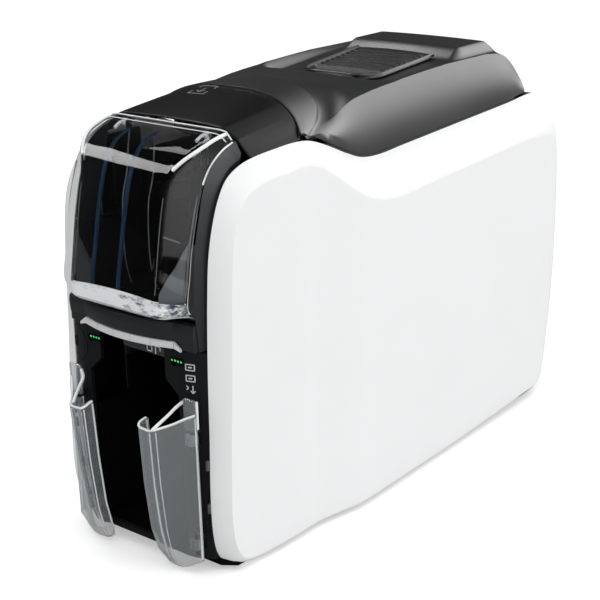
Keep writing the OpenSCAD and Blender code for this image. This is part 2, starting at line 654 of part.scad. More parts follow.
// Clear wing at the right of the outlet: a curved channel, open to the rear
wing_front = -wing_reach;
function wing_lead(z) = wing_front + 15 * pow(max(0, 1 - (z - wing_low) / 52), 2.2);
flange_y = -2.4;
wing_zs = [for (i = [0:10]) pow(i / 10, 1.2)];
function wing_column(c, t, inset) = let(
        tip = wing_top - (c < 2 ? 3 : 0) + (c > 3 ? 9 : 0),
        z = mix(wing_low, tip, t),
        lead = wing_lead(z),
        inner_back = mix(-6.4, -12.4, t),
        x = [wing_inner, wing_inner, wing_inner + 2.4, wing_outer - 3, wing_outer, wing_outer, wing_outer, wing_pin_x - 3][c],
        y = [min(max(inner_back, lead + 1.6), -2.4), min(lead + 2.6, -2.6), lead, lead, min(lead + 3, -3.2),
            min(max(-4.5, lead + 4), -2.9), flange_y, flange_y][c],
        nx = [1, 1, 0.5, -0.5, -1, -1, -0.7, 0][c],
        ny = [0, 0.3, 1, 1, 0.3, 0.3, 0.7, 1][c])
    [x + nx * inset, y + ny * inset, z];
module wing_shape() {
    difference() {
        union() {
            skin([for (t = wing_zs) [for (c = [0:7]) wing_column(c, t, 0)]],
                [for (t = wing_zs) [for (c = [0:7]) wing_column(c, t, wing_wall)]]);
            for (z = wing_hinge_zs) {
                translate([wing_pin_x, wing_pin_y, z + 3 + gap]) cylinder(r = knuckle_r - 0.1, h = knuckle_h);
                box(wing_pin_x - 5, wing_pin_x, wing_pin_y - knuckle_r + 0.1, wing_pin_y, z + 3 + gap, z + 3 + gap + knuckle_h);
            }
        }
        translate([wing_pin_x, wing_pin_y, 0]) cylinder(r = wing_pin_r + run_gap, h = 200);
    }
}
module right_tray_wing() { color("lightblue", 0.4) wing_shape(); }
module left_tray_wing() { color("lightblue", 0.4) mirror([1, 0, 0]) wing_shape(); }
module wing_hinge_pins() {
    color("silver") for (s = sides, z = wing_hinge_zs) translate([s * wing_pin_x, wing_pin_y, z])
        cylinder(r = wing_pin_r, h = 6 + knuckle_h + 2 * gap);
}

// Ribbon spools with their film, and the film that runs under the printhead
film_half = 30;
supply_r = 17;
takeup_r = 12;
module spool(y, r) {
    translate([0, y, spool_z]) {
        rod_x(spool_r, 2 * (chassis_half + plate_t) + 3);
        rod_x(r, 2 * film_half);
    }
}
module ribbon_supply_spool() { color("midnightblue") spool(supply_y, supply_r); }
module ribbon_takeup_spool() { color("indigo") spool(takeup_y, takeup_r); }
film_t = 0.5;
film_z = path_z + 1;
module ribbon_film() {
    head = roller_y[2];
    color("purple") side_profile(-film_half, film_half) polygon([
        [takeup_y - 1, spool_z - takeup_r - gap - film_t], [head - 9, film_z], [head + 9, film_z],
        [supply_y + 1, spool_z - supply_r - gap - film_t], [supply_y + 1, spool_z - supply_r - gap],
        [head + 9, film_z + film_t], [head - 9, film_z + film_t], [takeup_y - 1, spool_z - takeup_r - gap]]);
}

// Top cover: crown, bevelled shoulder and hollow flank, with a visor over the hopper panel
cover_end = panel_l - 25;
cover_ys = concat([visor_y, 111, 118, 130, 146, 164, 178, 192, 220, 250],
    [for (back = [99, 79, 57, 45, 35, 29, 25]) panel_l - back]);
lid_gap = 1.6;
function base_line(y) = top_z(min(y, panel_l - 34)) + lid_gap + 2.6 * ease(y, 120, 84);
function crown_z(y) = cover_top - 1.8 - 1.6 * ease(y, 110, 170) + 3.4 * ease(y, panel_l - 117, panel_l - 79)
    - 16 * ease(y, panel_l - 57, panel_l - 33) - 22 * ease(y, panel_l - 39, cover_end + 3);
function shoulder_z(y) = crown_z(y) - 11 + 9 * ease(y, panel_l - 57, cover_end);
cover_cols = [0, 0.5, 0.8, 0.9, 1, 1.08, 1.14, 1.19, 1.24];
function cover_point(y, w, side, inset) = let(
        crown = crown_z(y),
        shoulder = min(crown, shoulder_z(y)),
        base = base_line(y),
        half = cover_half - 3 * ease(y, panel_l - 53, cover_end),
        t = min(1, max(0, (w - 1) / 0.24)),
        x = w <= 1 ? w * crown_half : mix(crown_half, half, pow(t, 1.5)),
        swept = y + (y > visor_y ? 0 : -visor_sweep * pow(x / top_gap_half, 2)),
        z = w <= 1 ? crown - (crown - shoulder) * pow(w, 3) : mix(shoulder, base + (y > visor_y ? 0 : 3), pow(t, 0.85)),
        nx = w <= 0.8 ? 0 : mix(0.3, 1, t),
        nz = w <= 0.8 ? 1 : mix(0.95, t >= 1 ? 0 : 0.4, t))
    [side * (x - inset * nx), swept, z - inset * nz];
function cover_row(y, inset) = concat(
    [for (i = [len(cover_cols) - 1:-1:1]) cover_point(y, cover_cols[i], -1, inset)],
    [for (w = cover_cols) cover_point(y, w, 1, inset)]);
lid_knuckle_r = 5;
pin_half = 40;
pad_y0 = 196;
pad_y1 = 262;
pad_half = 30;
pad_z = cover_top - 5;
module top_cover() {
    color("dimgray") difference() {
        union() {
            skin([for (y = cover_ys) cover_row(y, 0)], [for (y = cover_ys) cover_row(y, cover_wall)]);
            for (s = sides) side_profile(s * 28 - 6, s * 28 + 6) hull() {
                translate([hinge_y, hinge_z]) circle(lid_knuckle_r, $fn = 32);
                translate([hinge_y - 16, crown_z(hinge_y - 16) - 8]) circle(3.5, $fn = 32);
            }
        }
        translate([0, hinge_y, hinge_z]) rod_x(hinge_r + run_gap, 2 * pin_half);
        box(-pad_half - gap, pad_half + gap, pad_y0 - gap, pad_y1 + gap, pad_z - 6, cover_top + over);
    }
}
// Seal that the cover's lower edge meets, along both side panels
seal_ys = [for (y = cover_ys) if (y > visor_y && y < panel_l - 40) y];
seal_in = 59.4;
module cover_seal() {
    color("black") mirrored() {
        outer = [for (z = [-4, lid_gap - gap]) [for (y = seal_ys) [cover_half, y, top_z(y) + z]]];
        inner = [for (z = [-4, lid_gap - gap]) [for (y = seal_ys) [seal_in, y, top_z(y) + z]]];
        skin(outer, inner);
    }
}
// Ribbed pad that is pressed down to open the cover
pad_t = 3;
module cover_latch_pad() {
    color("black") {
        box(-pad_half, pad_half, pad_y0, pad_y1, pad_z - pad_t, pad_z);
        for (i = [0:6]) side_profile(-pad_half + 2, pad_half - 2) translate([pad_y0 + 30 + i * 5, pad_z]) circle(1.1, $fn = 24);
        for (s = sides) box(s * 20 - 2, s * 20 + 2, latch_y + 4, latch_y + 10, pad_z - 16, pad_z - pad_t);
    }
}
module latch_hook() {
    color("silver") for (s = sides) side_profile(s * 20 - 1.5, s * 20 + 1.5)
        polygon([[latch_y + 4, pad_z - 16], [latch_y + 10, pad_z - 16], [latch_y + 10, latch_z + 2], [latch_y + 2, latch_z + 2],
            [latch_y + 2, latch_z + 6], [latch_y + 6, latch_z + 8], [latch_y + 4, pad_z - 22]]);
}
module latch_keeper() {
    color("gray") translate([0, latch_y - 2, latch_z + 6]) rod_x(1.5, 2 * chassis_half);
}
module cover_hinge_pin() { color("silver") translate([0, hinge_y, hinge_z]) rod_x(hinge_r, 2 * pin_half); }
module cover_hinge_brackets() {
    color("lightsteelblue") mirrored() difference() {
        side_profile(chassis_half - 3, chassis_half) {
            hull() {
                translate([hinge_y, hinge_z]) circle(hinge_r + 2, $fn = 32);
                translate([hinge_y - 16, hinge_z - 6]) circle(4, $fn = 32);
            }
            hull() {
                translate([hinge_y - 16, hinge_z - 6]) circle(4, $fn = 32);
                translate([hinge_y - 30, plate_top - 24]) square([16, 10]);
            }
        }
        translate([0, hinge_y, hinge_z]) rod_x(hinge_r, 2 * cover_half);
    }
}
head_half = 30;
head_y = roller_y[2];
module printhead() {
    color("sienna") {
        side_profile(-head_half, head_half) polygon([[head_y - 5, path_z + 6], [head_y - 1, path_z + 2],
            [head_y + 1, path_z + 2], [head_y + 5, path_z + 6], [head_y + 5, path_z + 16], [head_y - 5, path_z + 16]]);
        for (i = [-4:4]) box(i * 6.5 - 1, i * 6.5 + 1, head_y - 4, head_y + 4, path_z + 16, path_z + 30);
    }
}
module printhead_carrier() {
    color("gray") {
        box(-34, 34, head_y - 6, head_y + 6, path_z + 30, path_z + 33);
        for (s = sides) box(s * 32 - 2, s * 32 + 2, head_y - 5, head_y + 5, path_z + 33, crown_z(head_y) - cover_wall - 4.2);
    }
}

// Electronics on the floor of the tray, fan and sockets at the back
board_z = floor_z + 8;
board_half = 36;
board_back = panel_l - 49;
module main_board() {
    color("darkgreen") {
        box(-board_half, board_half, 106, board_back, board_z, board_z + 1.6);
        for (y = [112, 218, board_back - 6], s = sides) translate([s * (board_half - 4), y, floor_z]) cylinder(r = 3, h = 8);
    }
}
module board_parts() {
    color("black") {
        for (i = [0:3]) translate([-24 + 12 * i, board_back - 24, board_z + 1.6]) cylinder(r = 5, h = 14);
        box(-12, 12, 180, 204, board_z + 1.6, board_z + 4.2);
        for (y = [134, 152, 236, 254]) box(12, 26, y, y + 9, board_z + 1.6, board_z + 3.4);
        for (y = [130, 160, 240]) box(-32, -24, y, y + 20, board_z + 1.6, board_z + 9);
    }
}
rear_t = 2.5;
rear_inset = 5;
function back_y(z) = tail_y(z) - rear_inset;
rear_panel_half = rear_half - rear_r - 0.6;
rear_low = 20;
rear_top = 231;
deck_front = panel_l - 21.5;
fan_x = 18;
fan_z = 150;
fan_size = 50;
fan_t = 12;
fan_back = back_y(fan_z + fan_size / 2) - rear_t - gap;
socket_z = 44;
sockets = [[-46, 16, 12], [-14, 13, 12], [20, 17, 14], [50, 7, 8]];
rear_zs = [for (i = [0:10]) mix(rear_low, rear_top, i / 10)];
module rear_panel() {
    front = back_y(rear_top) - 30;
    back = panel_l + over;
    color("dimgray") difference() {
        side_profile(-rear_panel_half, rear_panel_half) polygon(concat([for (z = rear_zs) [back_y(z), z]],
            [[deck_front, rear_top], [deck_front, rear_top - rear_t]],
            [for (i = [9:-1:0]) [back_y(rear_zs[i]) - rear_t, rear_zs[i]]]));
        for (i = [-4:4]) let(h = 2 * sqrt(pow(fan_size / 2 - 2, 2) - pow(i * 5, 2)))
            box(fan_x + i * 5 - 1.4, fan_x + i * 5 + 1.4, front, back, fan_z - h / 2, fan_z + h / 2);
        for (k = sockets) box(k[0] - k[1] / 2 - gap, k[0] + k[1] / 2 + gap, front, back,
            socket_z - k[2] / 2 - gap, socket_z + k[2] / 2 + gap);
        for (i = [0:9]) box(-56 + i * 5, -53.4 + i * 5, front, back, 110, 190);
        mirrored() front_profile(deck_front - over, back) polygon([[rear_panel_half + over, 201.5],
            [rear_panel_half + over, rear_top + over], [60, rear_top + over], [60, rear_top], [rear_panel_half, 204]]);
    }
}
module rear_sockets() {
    socket_back = back_y(socket_z - 6) + 0.4;
    socket_l = 13.2;
    color("silver") for (k = sockets) difference() {
        box(k[0] - k[1] / 2, k[0] + k[1] / 2, socket_back - socket_l, socket_back, socket_z - k[2] / 2, socket_z + k[2] / 2);
        box(k[0] - k[1] / 2 + 1.2, k[0] + k[1] / 2 - 1.2, socket_back - 12, socket_back + over,
            socket_z - k[2] / 2 + 1.2, socket_z + k[2] / 2 - 1.2);
    }
}
fan_front = fan_back - fan_t;
module fan_frame() {
    color("black") difference() {
        box(fan_x - fan_size / 2, fan_x + fan_size / 2, fan_front, fan_back, fan_z - fan_size / 2, fan_z + fan_size / 2);
        translate([fan_x, fan_front + 2, fan_z]) rotate([-90, 0, 0]) cylinder(r = fan_size / 2 - 2, h = fan_t);
        for (q = [0:3]) translate([fan_x, fan_front - over, fan_z]) rotate([0, 90 * q, 0])
            front_profile(0, 4) polygon([[10, -6], [10, 6], [19, 12], [19, -12]]);
    }
}
module fan_rotor() {
    color("dimgray") translate([fan_x, fan_front + 2 + gap, fan_z]) rotate([-90, 0, 0]) {
        cylinder(r = 9, h = fan_t - 4);
        for (b = [0:6]) rotate([0, 0, b * 360 / 7]) translate([8, 0, 4]) rotate([35, 0, 0])
            translate([0, -0.6, -3.5]) cube([fan_size / 2 - 2 - 1.6 - 8, 1.2, 7]);
    }
}

module placed() translate([0, front_y, 0]) children();
placed() base_tray();
placed() rubber_feet();
placed() left_side_panel();
placed() right_side_panel();
placed() rear_panel();
placed() rear_sockets();
placed() fan_frame();
placed() fan_rotor();
placed() main_board();
placed() board_parts();
placed() left_chassis_plate();
placed() right_chassis_plate();
placed() chassis_tie_rods();
placed() roller_bushes();
placed() pick_shaft();
placed() pick_roller();
placed() feed_shaft();
placed() feed_roller();
placed() platen_shaft();
placed() platen_roller();
placed() exit_shaft();
placed() exit_roller();
placed() front_idler_gear();
placed() middle_idler_gear();
placed() rear_idler_gear();
placed() drive_motor();
placed() motor_pinion();
placed() feed_pinch_roller();
placed() exit_pinch_roller();
placed() cleaning_roller();
placed() card_hopper();
placed() hopper_gussets();
placed() card_weight();
placed() card_weight_pin();
placed() hopper_top_panel();
placed() front_bezel();
placed() hopper_door();
placed() door_hinge_pins();
placed() lower_front_plate();
placed() feed_slot_tab();
placed() light_bar();
placed() status_leds();
placed() power_button();
placed() button_switch();
placed() output_tray();
placed() left_tray_wing();
placed() right_tray_wing();
placed() wing_hinge_pins();
placed() ribbon_supply_spool();
placed() ribbon_takeup_spool();
placed() ribbon_film();
placed() top_cover();
placed() cover_latch_pad();
placed() latch_hook();
placed() latch_keeper();
placed() cover_hinge_pin();
placed() cover_hinge_brackets();
placed() printhead();
placed() printhead_carrier();
placed() cover_seal();
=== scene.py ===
import math
import bmesh
import bpy
import numpy as np
from mathutils import Matrix, Vector


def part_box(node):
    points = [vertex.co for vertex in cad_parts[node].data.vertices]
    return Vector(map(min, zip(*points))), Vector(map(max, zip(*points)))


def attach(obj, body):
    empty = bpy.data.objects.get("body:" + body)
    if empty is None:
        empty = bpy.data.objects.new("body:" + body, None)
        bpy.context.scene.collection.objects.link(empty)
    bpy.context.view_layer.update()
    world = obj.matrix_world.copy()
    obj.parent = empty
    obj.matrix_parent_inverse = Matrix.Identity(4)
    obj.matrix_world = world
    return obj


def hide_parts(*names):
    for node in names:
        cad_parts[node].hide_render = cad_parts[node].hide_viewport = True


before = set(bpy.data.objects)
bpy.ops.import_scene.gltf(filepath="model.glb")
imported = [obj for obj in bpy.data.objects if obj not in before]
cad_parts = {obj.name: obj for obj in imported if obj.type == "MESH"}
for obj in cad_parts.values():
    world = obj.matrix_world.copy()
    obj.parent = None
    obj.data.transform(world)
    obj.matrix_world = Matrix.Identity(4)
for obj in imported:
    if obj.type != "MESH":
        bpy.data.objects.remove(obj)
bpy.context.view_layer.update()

frontEdgeY = -0.180  # place of the side panels' front edge in the frame, in metres
mm = 0.001
print("frame loaded")


# shape helpers, all in millimetres
def ease(x, a, b):
    # smooth step from 0 at a to 1 at b
    t = np.clip((np.asarray(x, float) - a) / (b - a), 0, 1)
    return t * t * (3 - 2 * t)


def mix(a, b, t):
    return a + (b - a) * t


def span(side, a, b):
    # a stretch from a to b out from the middle, on one side, in rising order
    return sorted((side * a, side * b))


def circleAt(x, y, radius, count):
    a = np.linspace(0, 2 * np.pi, count, endpoint=False)
    return np.column_stack([x + radius * np.cos(a), y + radius * np.sin(a)])


def curveThrough(points, count, closed=False, corners=None):
    # cubic curve through the points, sampled evenly along its length, or evenly between the given corner points
    p = np.asarray(points, float)
    if closed:
        p = np.vstack([p, p[:1]])
    step = np.linalg.norm(np.diff(p, axis=0), axis=1)
    t = np.concatenate([[0], np.cumsum(step)])
    if closed:
        before = np.vstack([p[-2], p[:-1]])
        after = np.vstack([p[1:], p[1]])
        gapBefore = np.concatenate([[step[-1]], step])
        gapAfter = np.concatenate([step, [step[0]]])
        slope = (after - before) / (gapBefore + gapAfter)[:, None]
    else:
        slope = np.gradient(p, t, axis=0)
    if corners is None:
        s = np.linspace(0, t[-1], count)
    else:
        marks = [t[c] for c in corners] + [t[-1]]
        s = np.concatenate([np.linspace(a, b, n, endpoint=False) for a, b, n in zip(marks, marks[1:], count)])
    k = np.clip(np.searchsorted(t, s, side="right") - 1, 0, len(step) - 1)
    h = step[k][:, None]
    u = (s - t[k])[:, None] / h
    return ((2 * u**3 - 3 * u**2 + 1) * p[k] + (u**3 - 2 * u**2 + u) * h * slope[k]
            + (3 * u**2 - 2 * u**3) * p[k + 1] + (u**3 - u**2) * h * slope[k + 1])


def gridFaces(rows, cols, wrap=False):
    # quads between neighbouring rows and columns of a grid, whose columns may close into a ring
    i, j = np.meshgrid(np.arange(rows - 1), np.arange(cols - (not wrap)), indexing="ij")
    n, m = i + 1, (j + 1) % cols
    return np.stack([i * cols + j, i * cols + m, n * cols + m, n * cols + j], -1).reshape(-1, 4)


def linkMesh(mesh, smoothAngle):
    # shows a mesh as an object of its own name, smooth but for its sharp edges
    obj = bpy.data.objects.new(mesh.name, mesh)
    bpy.context.scene.collection.objects.link(obj)
    mesh.shade_smooth()
    mesh.set_sharp_from_angle(angle=math.radians(smoothAngle))
    return obj


def makeMesh(name, points, faces, caps=(), smoothAngle=35):
    # a mesh object from millimetre points, with its doubles merged
    mesh = bpy.data.meshes.new(name)
    place = np.asarray(points, float).reshape(-1, 3) * mm + (0, frontEdgeY, 0)
    mesh.from_pydata(place.tolist(), [], [f.tolist() for f in faces] + [list(c) for c in caps])
    bm = bmesh.new()
    bm.from_mesh(mesh)
    bmesh.ops.remove_doubles(bm, verts=bm.verts, dist=1e-6)
    bmesh.ops.dissolve_degenerate(bm, edges=bm.edges, dist=1e-7)
    bm.to_mesh(mesh)
    bm.free()
    mesh.validate()
    return linkMesh(mesh, smoothAngle)


def faceOut(obj, outward=None):
    # turns the faces outwards: a closed mesh by its own inside, an open sheet by a direction
    bm = bmesh.new()
    bm.from_mesh(obj.data)
    if outward is None:
        bmesh.ops.recalc_face_normals(bm, faces=bm.faces)
    else:
        bm.normal_update()
        if sum(f.normal.dot(Vector(outward(f.calc_center_median()))) * f.calc_area() for f in bm.faces) < 0:
            bmesh.ops.reverse_faces(bm, faces=bm.faces)
    bm.to_mesh(obj.data)
    bm.free()
    return obj


def addWall(obj, wall):
    # gives an open sheet its thickness, inwards
    solid = obj.modifiers.new("wall", "SOLIDIFY")
    solid.thickness = wall * mm
    solid.offset = -1
    solid.use_even_offset = False


def sheet(name, points, outward, wall=0, angle=35, edgeRound=0):
    # an open sheet of points in rows and columns, given a wall inwards and rounded edges
    points = np.asarray(points, float)
    obj = faceOut(makeMesh(name, points, gridFaces(*points.shape[:2]), smoothAngle=angle), outward)
    if wall:
        addWall(obj, wall)
    if edgeRound:
        bevel = obj.modifiers.new("edges", "BEVEL")
        bevel.width = edgeRound * mm
        bevel.segments = 2
        bevel.limit_method = "ANGLE"
        bevel.angle_limit = math.radians(50)
    return obj


def solidLoft(name, points, angle=35):
    # a closed solid from rings of points, capped at both ends
    points = np.asarray(points, float)
    rows, cols = points.shape[:2]
    caps = [range(cols), range((rows - 1) * cols, rows * cols)]
    return faceOut(makeMesh(name, points, gridFaces(rows, cols, wrap=True), caps, smoothAngle=angle))


def roundedRing(x0, x1, y0, y1, radius, count=6):
    # outline of a rectangle with rounded corners, as plane points: a quarter circle round each corner's centre
    radius = min(radius, (x1 - x0) / 2 - 1e-4, (y1 - y0) / 2 - 1e-4)
    angles = np.linspace(0, np.pi / 2, count)
    left, right, low, high = x0 + radius, x1 - radius, y0 + radius, y1 - radius
    quarters = []
    for q, (x, y) in enumerate([(right, high), (left, high), (left, low), (right, low)]):
        turned = angles + q * np.pi / 2
        quarters.append(np.stack([x + radius * np.cos(turned), y + radius * np.sin(turned)], -1))
    return np.concatenate(quarters)


def plateOf(name, outline, low, high, axis="y", chamfer=0.3):
    # a flat plate: an outline in two axes carried along the third, with chamfered rims
    outline = np.asarray(outline, float)
    centre = outline.mean(0)
    size = np.abs(outline - centre).max(0)

    def ring(level, inset):
        a, b = (centre + (outline - centre) * (1 - inset / size)).T
        level = np.full(len(a), level, float)
        return np.stack({"x": (level, a, b), "y": (a, level, b), "z": (a, b, level)}[axis], -1)

    c = min(chamfer, (high - low) * 0.45)
    return solidLoft(name, [ring(low, c), ring(low + c, 0), ring(high - c, 0), ring(high, c)])


def tubeAlong(name, path, radius, sides=8):
    # a round bar: a circle carried along a path, square to it
    path = np.asarray(path, float)
    along = np.gradient(path, axis=0)
    along /= np.linalg.norm(along, axis=1)[:, None]
    seed = np.array([0, 0, 1.0]) if abs(along[0][2]) < 0.9 else np.array([1.0, 0, 0])
    side = np.cross(along, seed)
    side /= np.linalg.norm(side, axis=1)[:, None]
    up = np.cross(side, along)
    a = np.linspace(0, 2 * np.pi, sides, endpoint=False)[None, :, None]
    return solidLoft(name, path[:, None] + radius * (np.cos(a) * side[:, None] + np.sin(a) * up[:, None]), 60)


def joinPieces(name, pieces):
    # several meshes made one object
    vertices, faces = [], []
    for piece in pieces:
        mesh = piece.data
        base = len(vertices)
        co = np.empty(len(mesh.vertices) * 3)
        mesh.vertices.foreach_get("co", co)
        vertices += co.reshape(-1, 3).tolist()
        faces += [[v + base for v in p.vertices] for p in mesh.polygons]
        bpy.data.objects.remove(piece)
    mesh = bpy.data.meshes.new(name)
    mesh.from_pydata(vertices, [], faces)
    return linkMesh(mesh, 40)


class Value:
    # a socket of a material's nodes, for use in sums

    def __init__(self, graph, socket):
        self.graph, self.socket = graph, socket

    def combine(self, kind, a, b):
        return self.graph.make("ShaderNodeMath", {"operation": kind}, [a, b])

    __add__ = __radd__ = lambda self, other: self.combine("ADD", self, other)
    __mul__ = __rmul__ = lambda self, other: self.combine("MULTIPLY", self, other)
    __sub__ = lambda self, other: self.combine("SUBTRACT", self, other)
    __rsub__ = lambda self, other: self.combine("SUBTRACT", other, self)
    __gt__ = lambda self, other: self.combine("GREATER_THAN", self, other)


class Finish:
    # the nodes of one material or world, made by kind: settings first, then sockets

    def __init__(self, owner, output="ShaderNodeOutputMaterial"):
        owner.use_nodes = True
        self.owner, self.tree = owner, owner.node_tree
        self.tree.nodes.clear()
        self.output = self.tree.nodes.new(output)

    def make(self, kind, settings=None, sockets=None, out=0):
        node = self.tree.nodes.new(kind)
        for key, value in (settings or {}).items():
            setattr(node, key, value)
        for key, value in sockets.items() if isinstance(sockets, dict) else enumerate(sockets or []):
            if isinstance(value, Value):
                self.tree.links.new(value.socket, node.inputs[key])
            else:
                node.inputs[key].default_value = value
        return Value(self, node.outputs[out])

    def coords(self, scale=(1, 1, 1), out="Object"):
        spot = self.make("ShaderNodeTexCoord", out=out)
        return self.make("ShaderNodeMapping", {}, {"Vector": spot, "Scale": scale})

    def noise(self, scale, detail=2.0, rough=0.5, spot=None):
        sockets = {"Vector": spot or self.coords(), "Scale": scale, "Detail": detail, "Roughness": rough}
        return self.make("ShaderNodeTexNoise", {}, sockets)

    def alongX(self, kind):
        return self.make("ShaderNodeSeparateXYZ", {}, [self.make("ShaderNodeTexCoord", out=kind)], out="X")

    def rise(self, value, low, high, start=0.0, end=1.0):
        # smooth change from start to end while the value goes from low to high
        return self.make("ShaderNodeMapRange", {"interpolation_type": "SMOOTHSTEP"}, [value, low, high, start, end])

    def blend(self, amount, a, b):
        a, b = (c if isinstance(c, Value) else (*c[:3], 1) for c in (a, b))
        return self.make("ShaderNodeMix", {"data_type": "RGBA"}, {0: amount, 6: a, 7: b}, out=2)

    def bump(self, height, distance):
        return self.make("ShaderNodeBump", {}, {"Height": height, "Distance": distance, "Strength": 1.0})

    def shader(self, **sockets):
        names = {"color": "Base Color", "rough": "Roughness", "metal": "Metallic", "normal": "Normal", "ior": "IOR",
                 "clear": "Transmission Weight", "glow": "Emission Color", "glowPower": "Emission Strength",
                 "specular": "Specular IOR Level"}
        return self.make("ShaderNodeBsdfPrincipled", {}, {names[k]: v for k, v in sockets.items()})

    def show(self, shader):
        self.tree.links.new(shader.socket, self.output.inputs["Surface"])
        return self.owner

    def surface(self, **sockets):
        return self.show(self.shader(**sockets))


def newFinish(name):
    return Finish(bpy.data.materials.new(name))


def scaled(color, share):
    return tuple(min(1, c * share) for c in color)


def mouldedPlastic(name, color, rough, grain, depth, tint=0.08, specular=0.5):
    # moulded plastic: fine eroded grain, faint clouding of tone and gloss
    f = newFinish(name)
    cloud = f.noise(14, 3)
    fine = f.noise(grain, 2, 0.6)
    shade = f.blend(cloud, scaled(color, 1 - tint), scaled(color, 1 + tint))
    tone = f.blend(fine * 0.35, shade, scaled(color, 1 - 2 * tint))
    gloss = cloud * 0.08 + fine * 0.1 + (rough - 0.09)
    return f.surface(color=tone, rough=gloss, specular=specular, normal=f.bump(fine, depth))


def clearPlastic(name, color, rough, ior):
    # polished clear plastic with faint moulding flow
    f = newFinish(name)
    flow = f.noise(9)
    tone = f.blend(flow, color, scaled(color, 0.985))
    return f.surface(color=tone, rough=flow * 0.02 + rough, clear=1.0, ior=ior, normal=f.bump(f.noise(22, 1), 0.00006))


def clearWithPaintedSheen(name, color, rough, ior, milk, sheenLeast, turn, sheenMost, sideOnly=False):
    # clear plastic with a share of painted sheen, a whitish diffuse layer in place of reflections, that grows where the
    # wall is seen edge on, or only on walls that face sideways
    f = newFinish(name)
    flow = f.noise(9)
    wave = f.bump(f.noise(22, 1), 0.00006)
    fine = f.noise(600)
    tone = f.blend(flow, color, scaled(color, 0.985))
    clear = f.shader(color=tone, rough=flow * 0.02 + rough, clear=1.0, ior=ior, normal=wave)
    # painted sheen: a pale diffuse layer standing in for reflected light
    paintedSheen = f.shader(color=f.blend(fine, scaled(milk, 0.9), milk), rough=fine * 0.1 + 0.25, normal=wave)
    facing = f.make("ShaderNodeLayerWeight", {}, {"Blend": 0.5}, out="Facing")
    amount = f.rise(facing, turn[0], turn[1], sheenLeast, sheenMost)
    if sideOnly:
        sideways = f.make("ShaderNodeMath", {"operation": "ABSOLUTE"}, [f.alongX("Normal")])
        amount = amount * f.rise(sideways, 0.25, 0.42)
    return f.show(f.make("ShaderNodeMixShader", {}, [amount, clear, paintedSheen]))


def paintedGlintBar(name, light, dark):
    # thick clear bar with painted reflections: light and dark flecks of painted glints, the dark ones thickening to one
    # side
    f = newFinish(name)
    flecks = f.noise(170, 4, 0.75, f.coords((0.55, 1, 1.3)))
    amount = f.rise(flecks + f.alongX("Object") * 3.2, 0.52, 0.74)
    return f.surface(color=f.blend(amount, light, dark), rough=flecks * 0.2 + 0.12, normal=f.bump(flecks, 0.00035))


def metalFinish(name, color, rough, brushed=(1, 1, 1), grain=300):
    # metal with fine lines drawn along one way
    f = newFinish(name)
    lines = f.noise(grain, 2, 0.6, f.coords(brushed))
    tone = f.blend(lines, scaled(color, 0.88), color)
    gloss = lines * 0.16 + f.noise(30) * 0.08 + (rough - 0.1)
    return f.surface(color=tone, metal=1.0, rough=gloss, normal=f.bump(lines, 0.00001))


def lumpy(name, color, rough, grain, depth, spread=0.25):
    # rubber and film: mottled tone over a soft grain
    f = newFinish(name)
    spots = f.noise(grain, 4, 0.6)
    tone = f.blend(spots, scaled(color, 1 - spread), scaled(color, 1 + spread))
    return f.surface(color=tone, rough=spots * 0.15 + (rough - 0.07), normal=f.bump(spots, depth))


def boardFinish(name, mask, tracks, dull):
    # solder mask with tracks under it
    f = newFinish(name)
    lines = f.make("ShaderNodeTexBrick", {}, {"Vector": f.coords(), "Scale": 60.0, "Mortar Size": 0.02}, out="Fac")
    cloud = f.noise(40)
    tone = f.blend(cloud, f.blend(lines, mask, tracks), dull)
    return f.surface(color=tone, rough=cloud * 0.1 + 0.3, normal=f.bump(lines, 0.00003))


def ledFinish(name, dim, bright, glow):
    # lit lens: a cellular tone under an even glow
    f = newFinish(name)
    cell = f.noise(500, 1)
    return f.surface(color=f.blend(cell, dim, bright), glow=(*glow, 1), glowPower=0.55, rough=cell * 0.1 + 0.15)


def printFinish(name, color):
    # pad-printed ink with a slightly uneven gloss
    f = newFinish(name)
    ink = f.noise(900)
    return f.surface(color=f.blend(ink, color, scaled(color, 0.8)), rough=ink * 0.1 + 0.4)


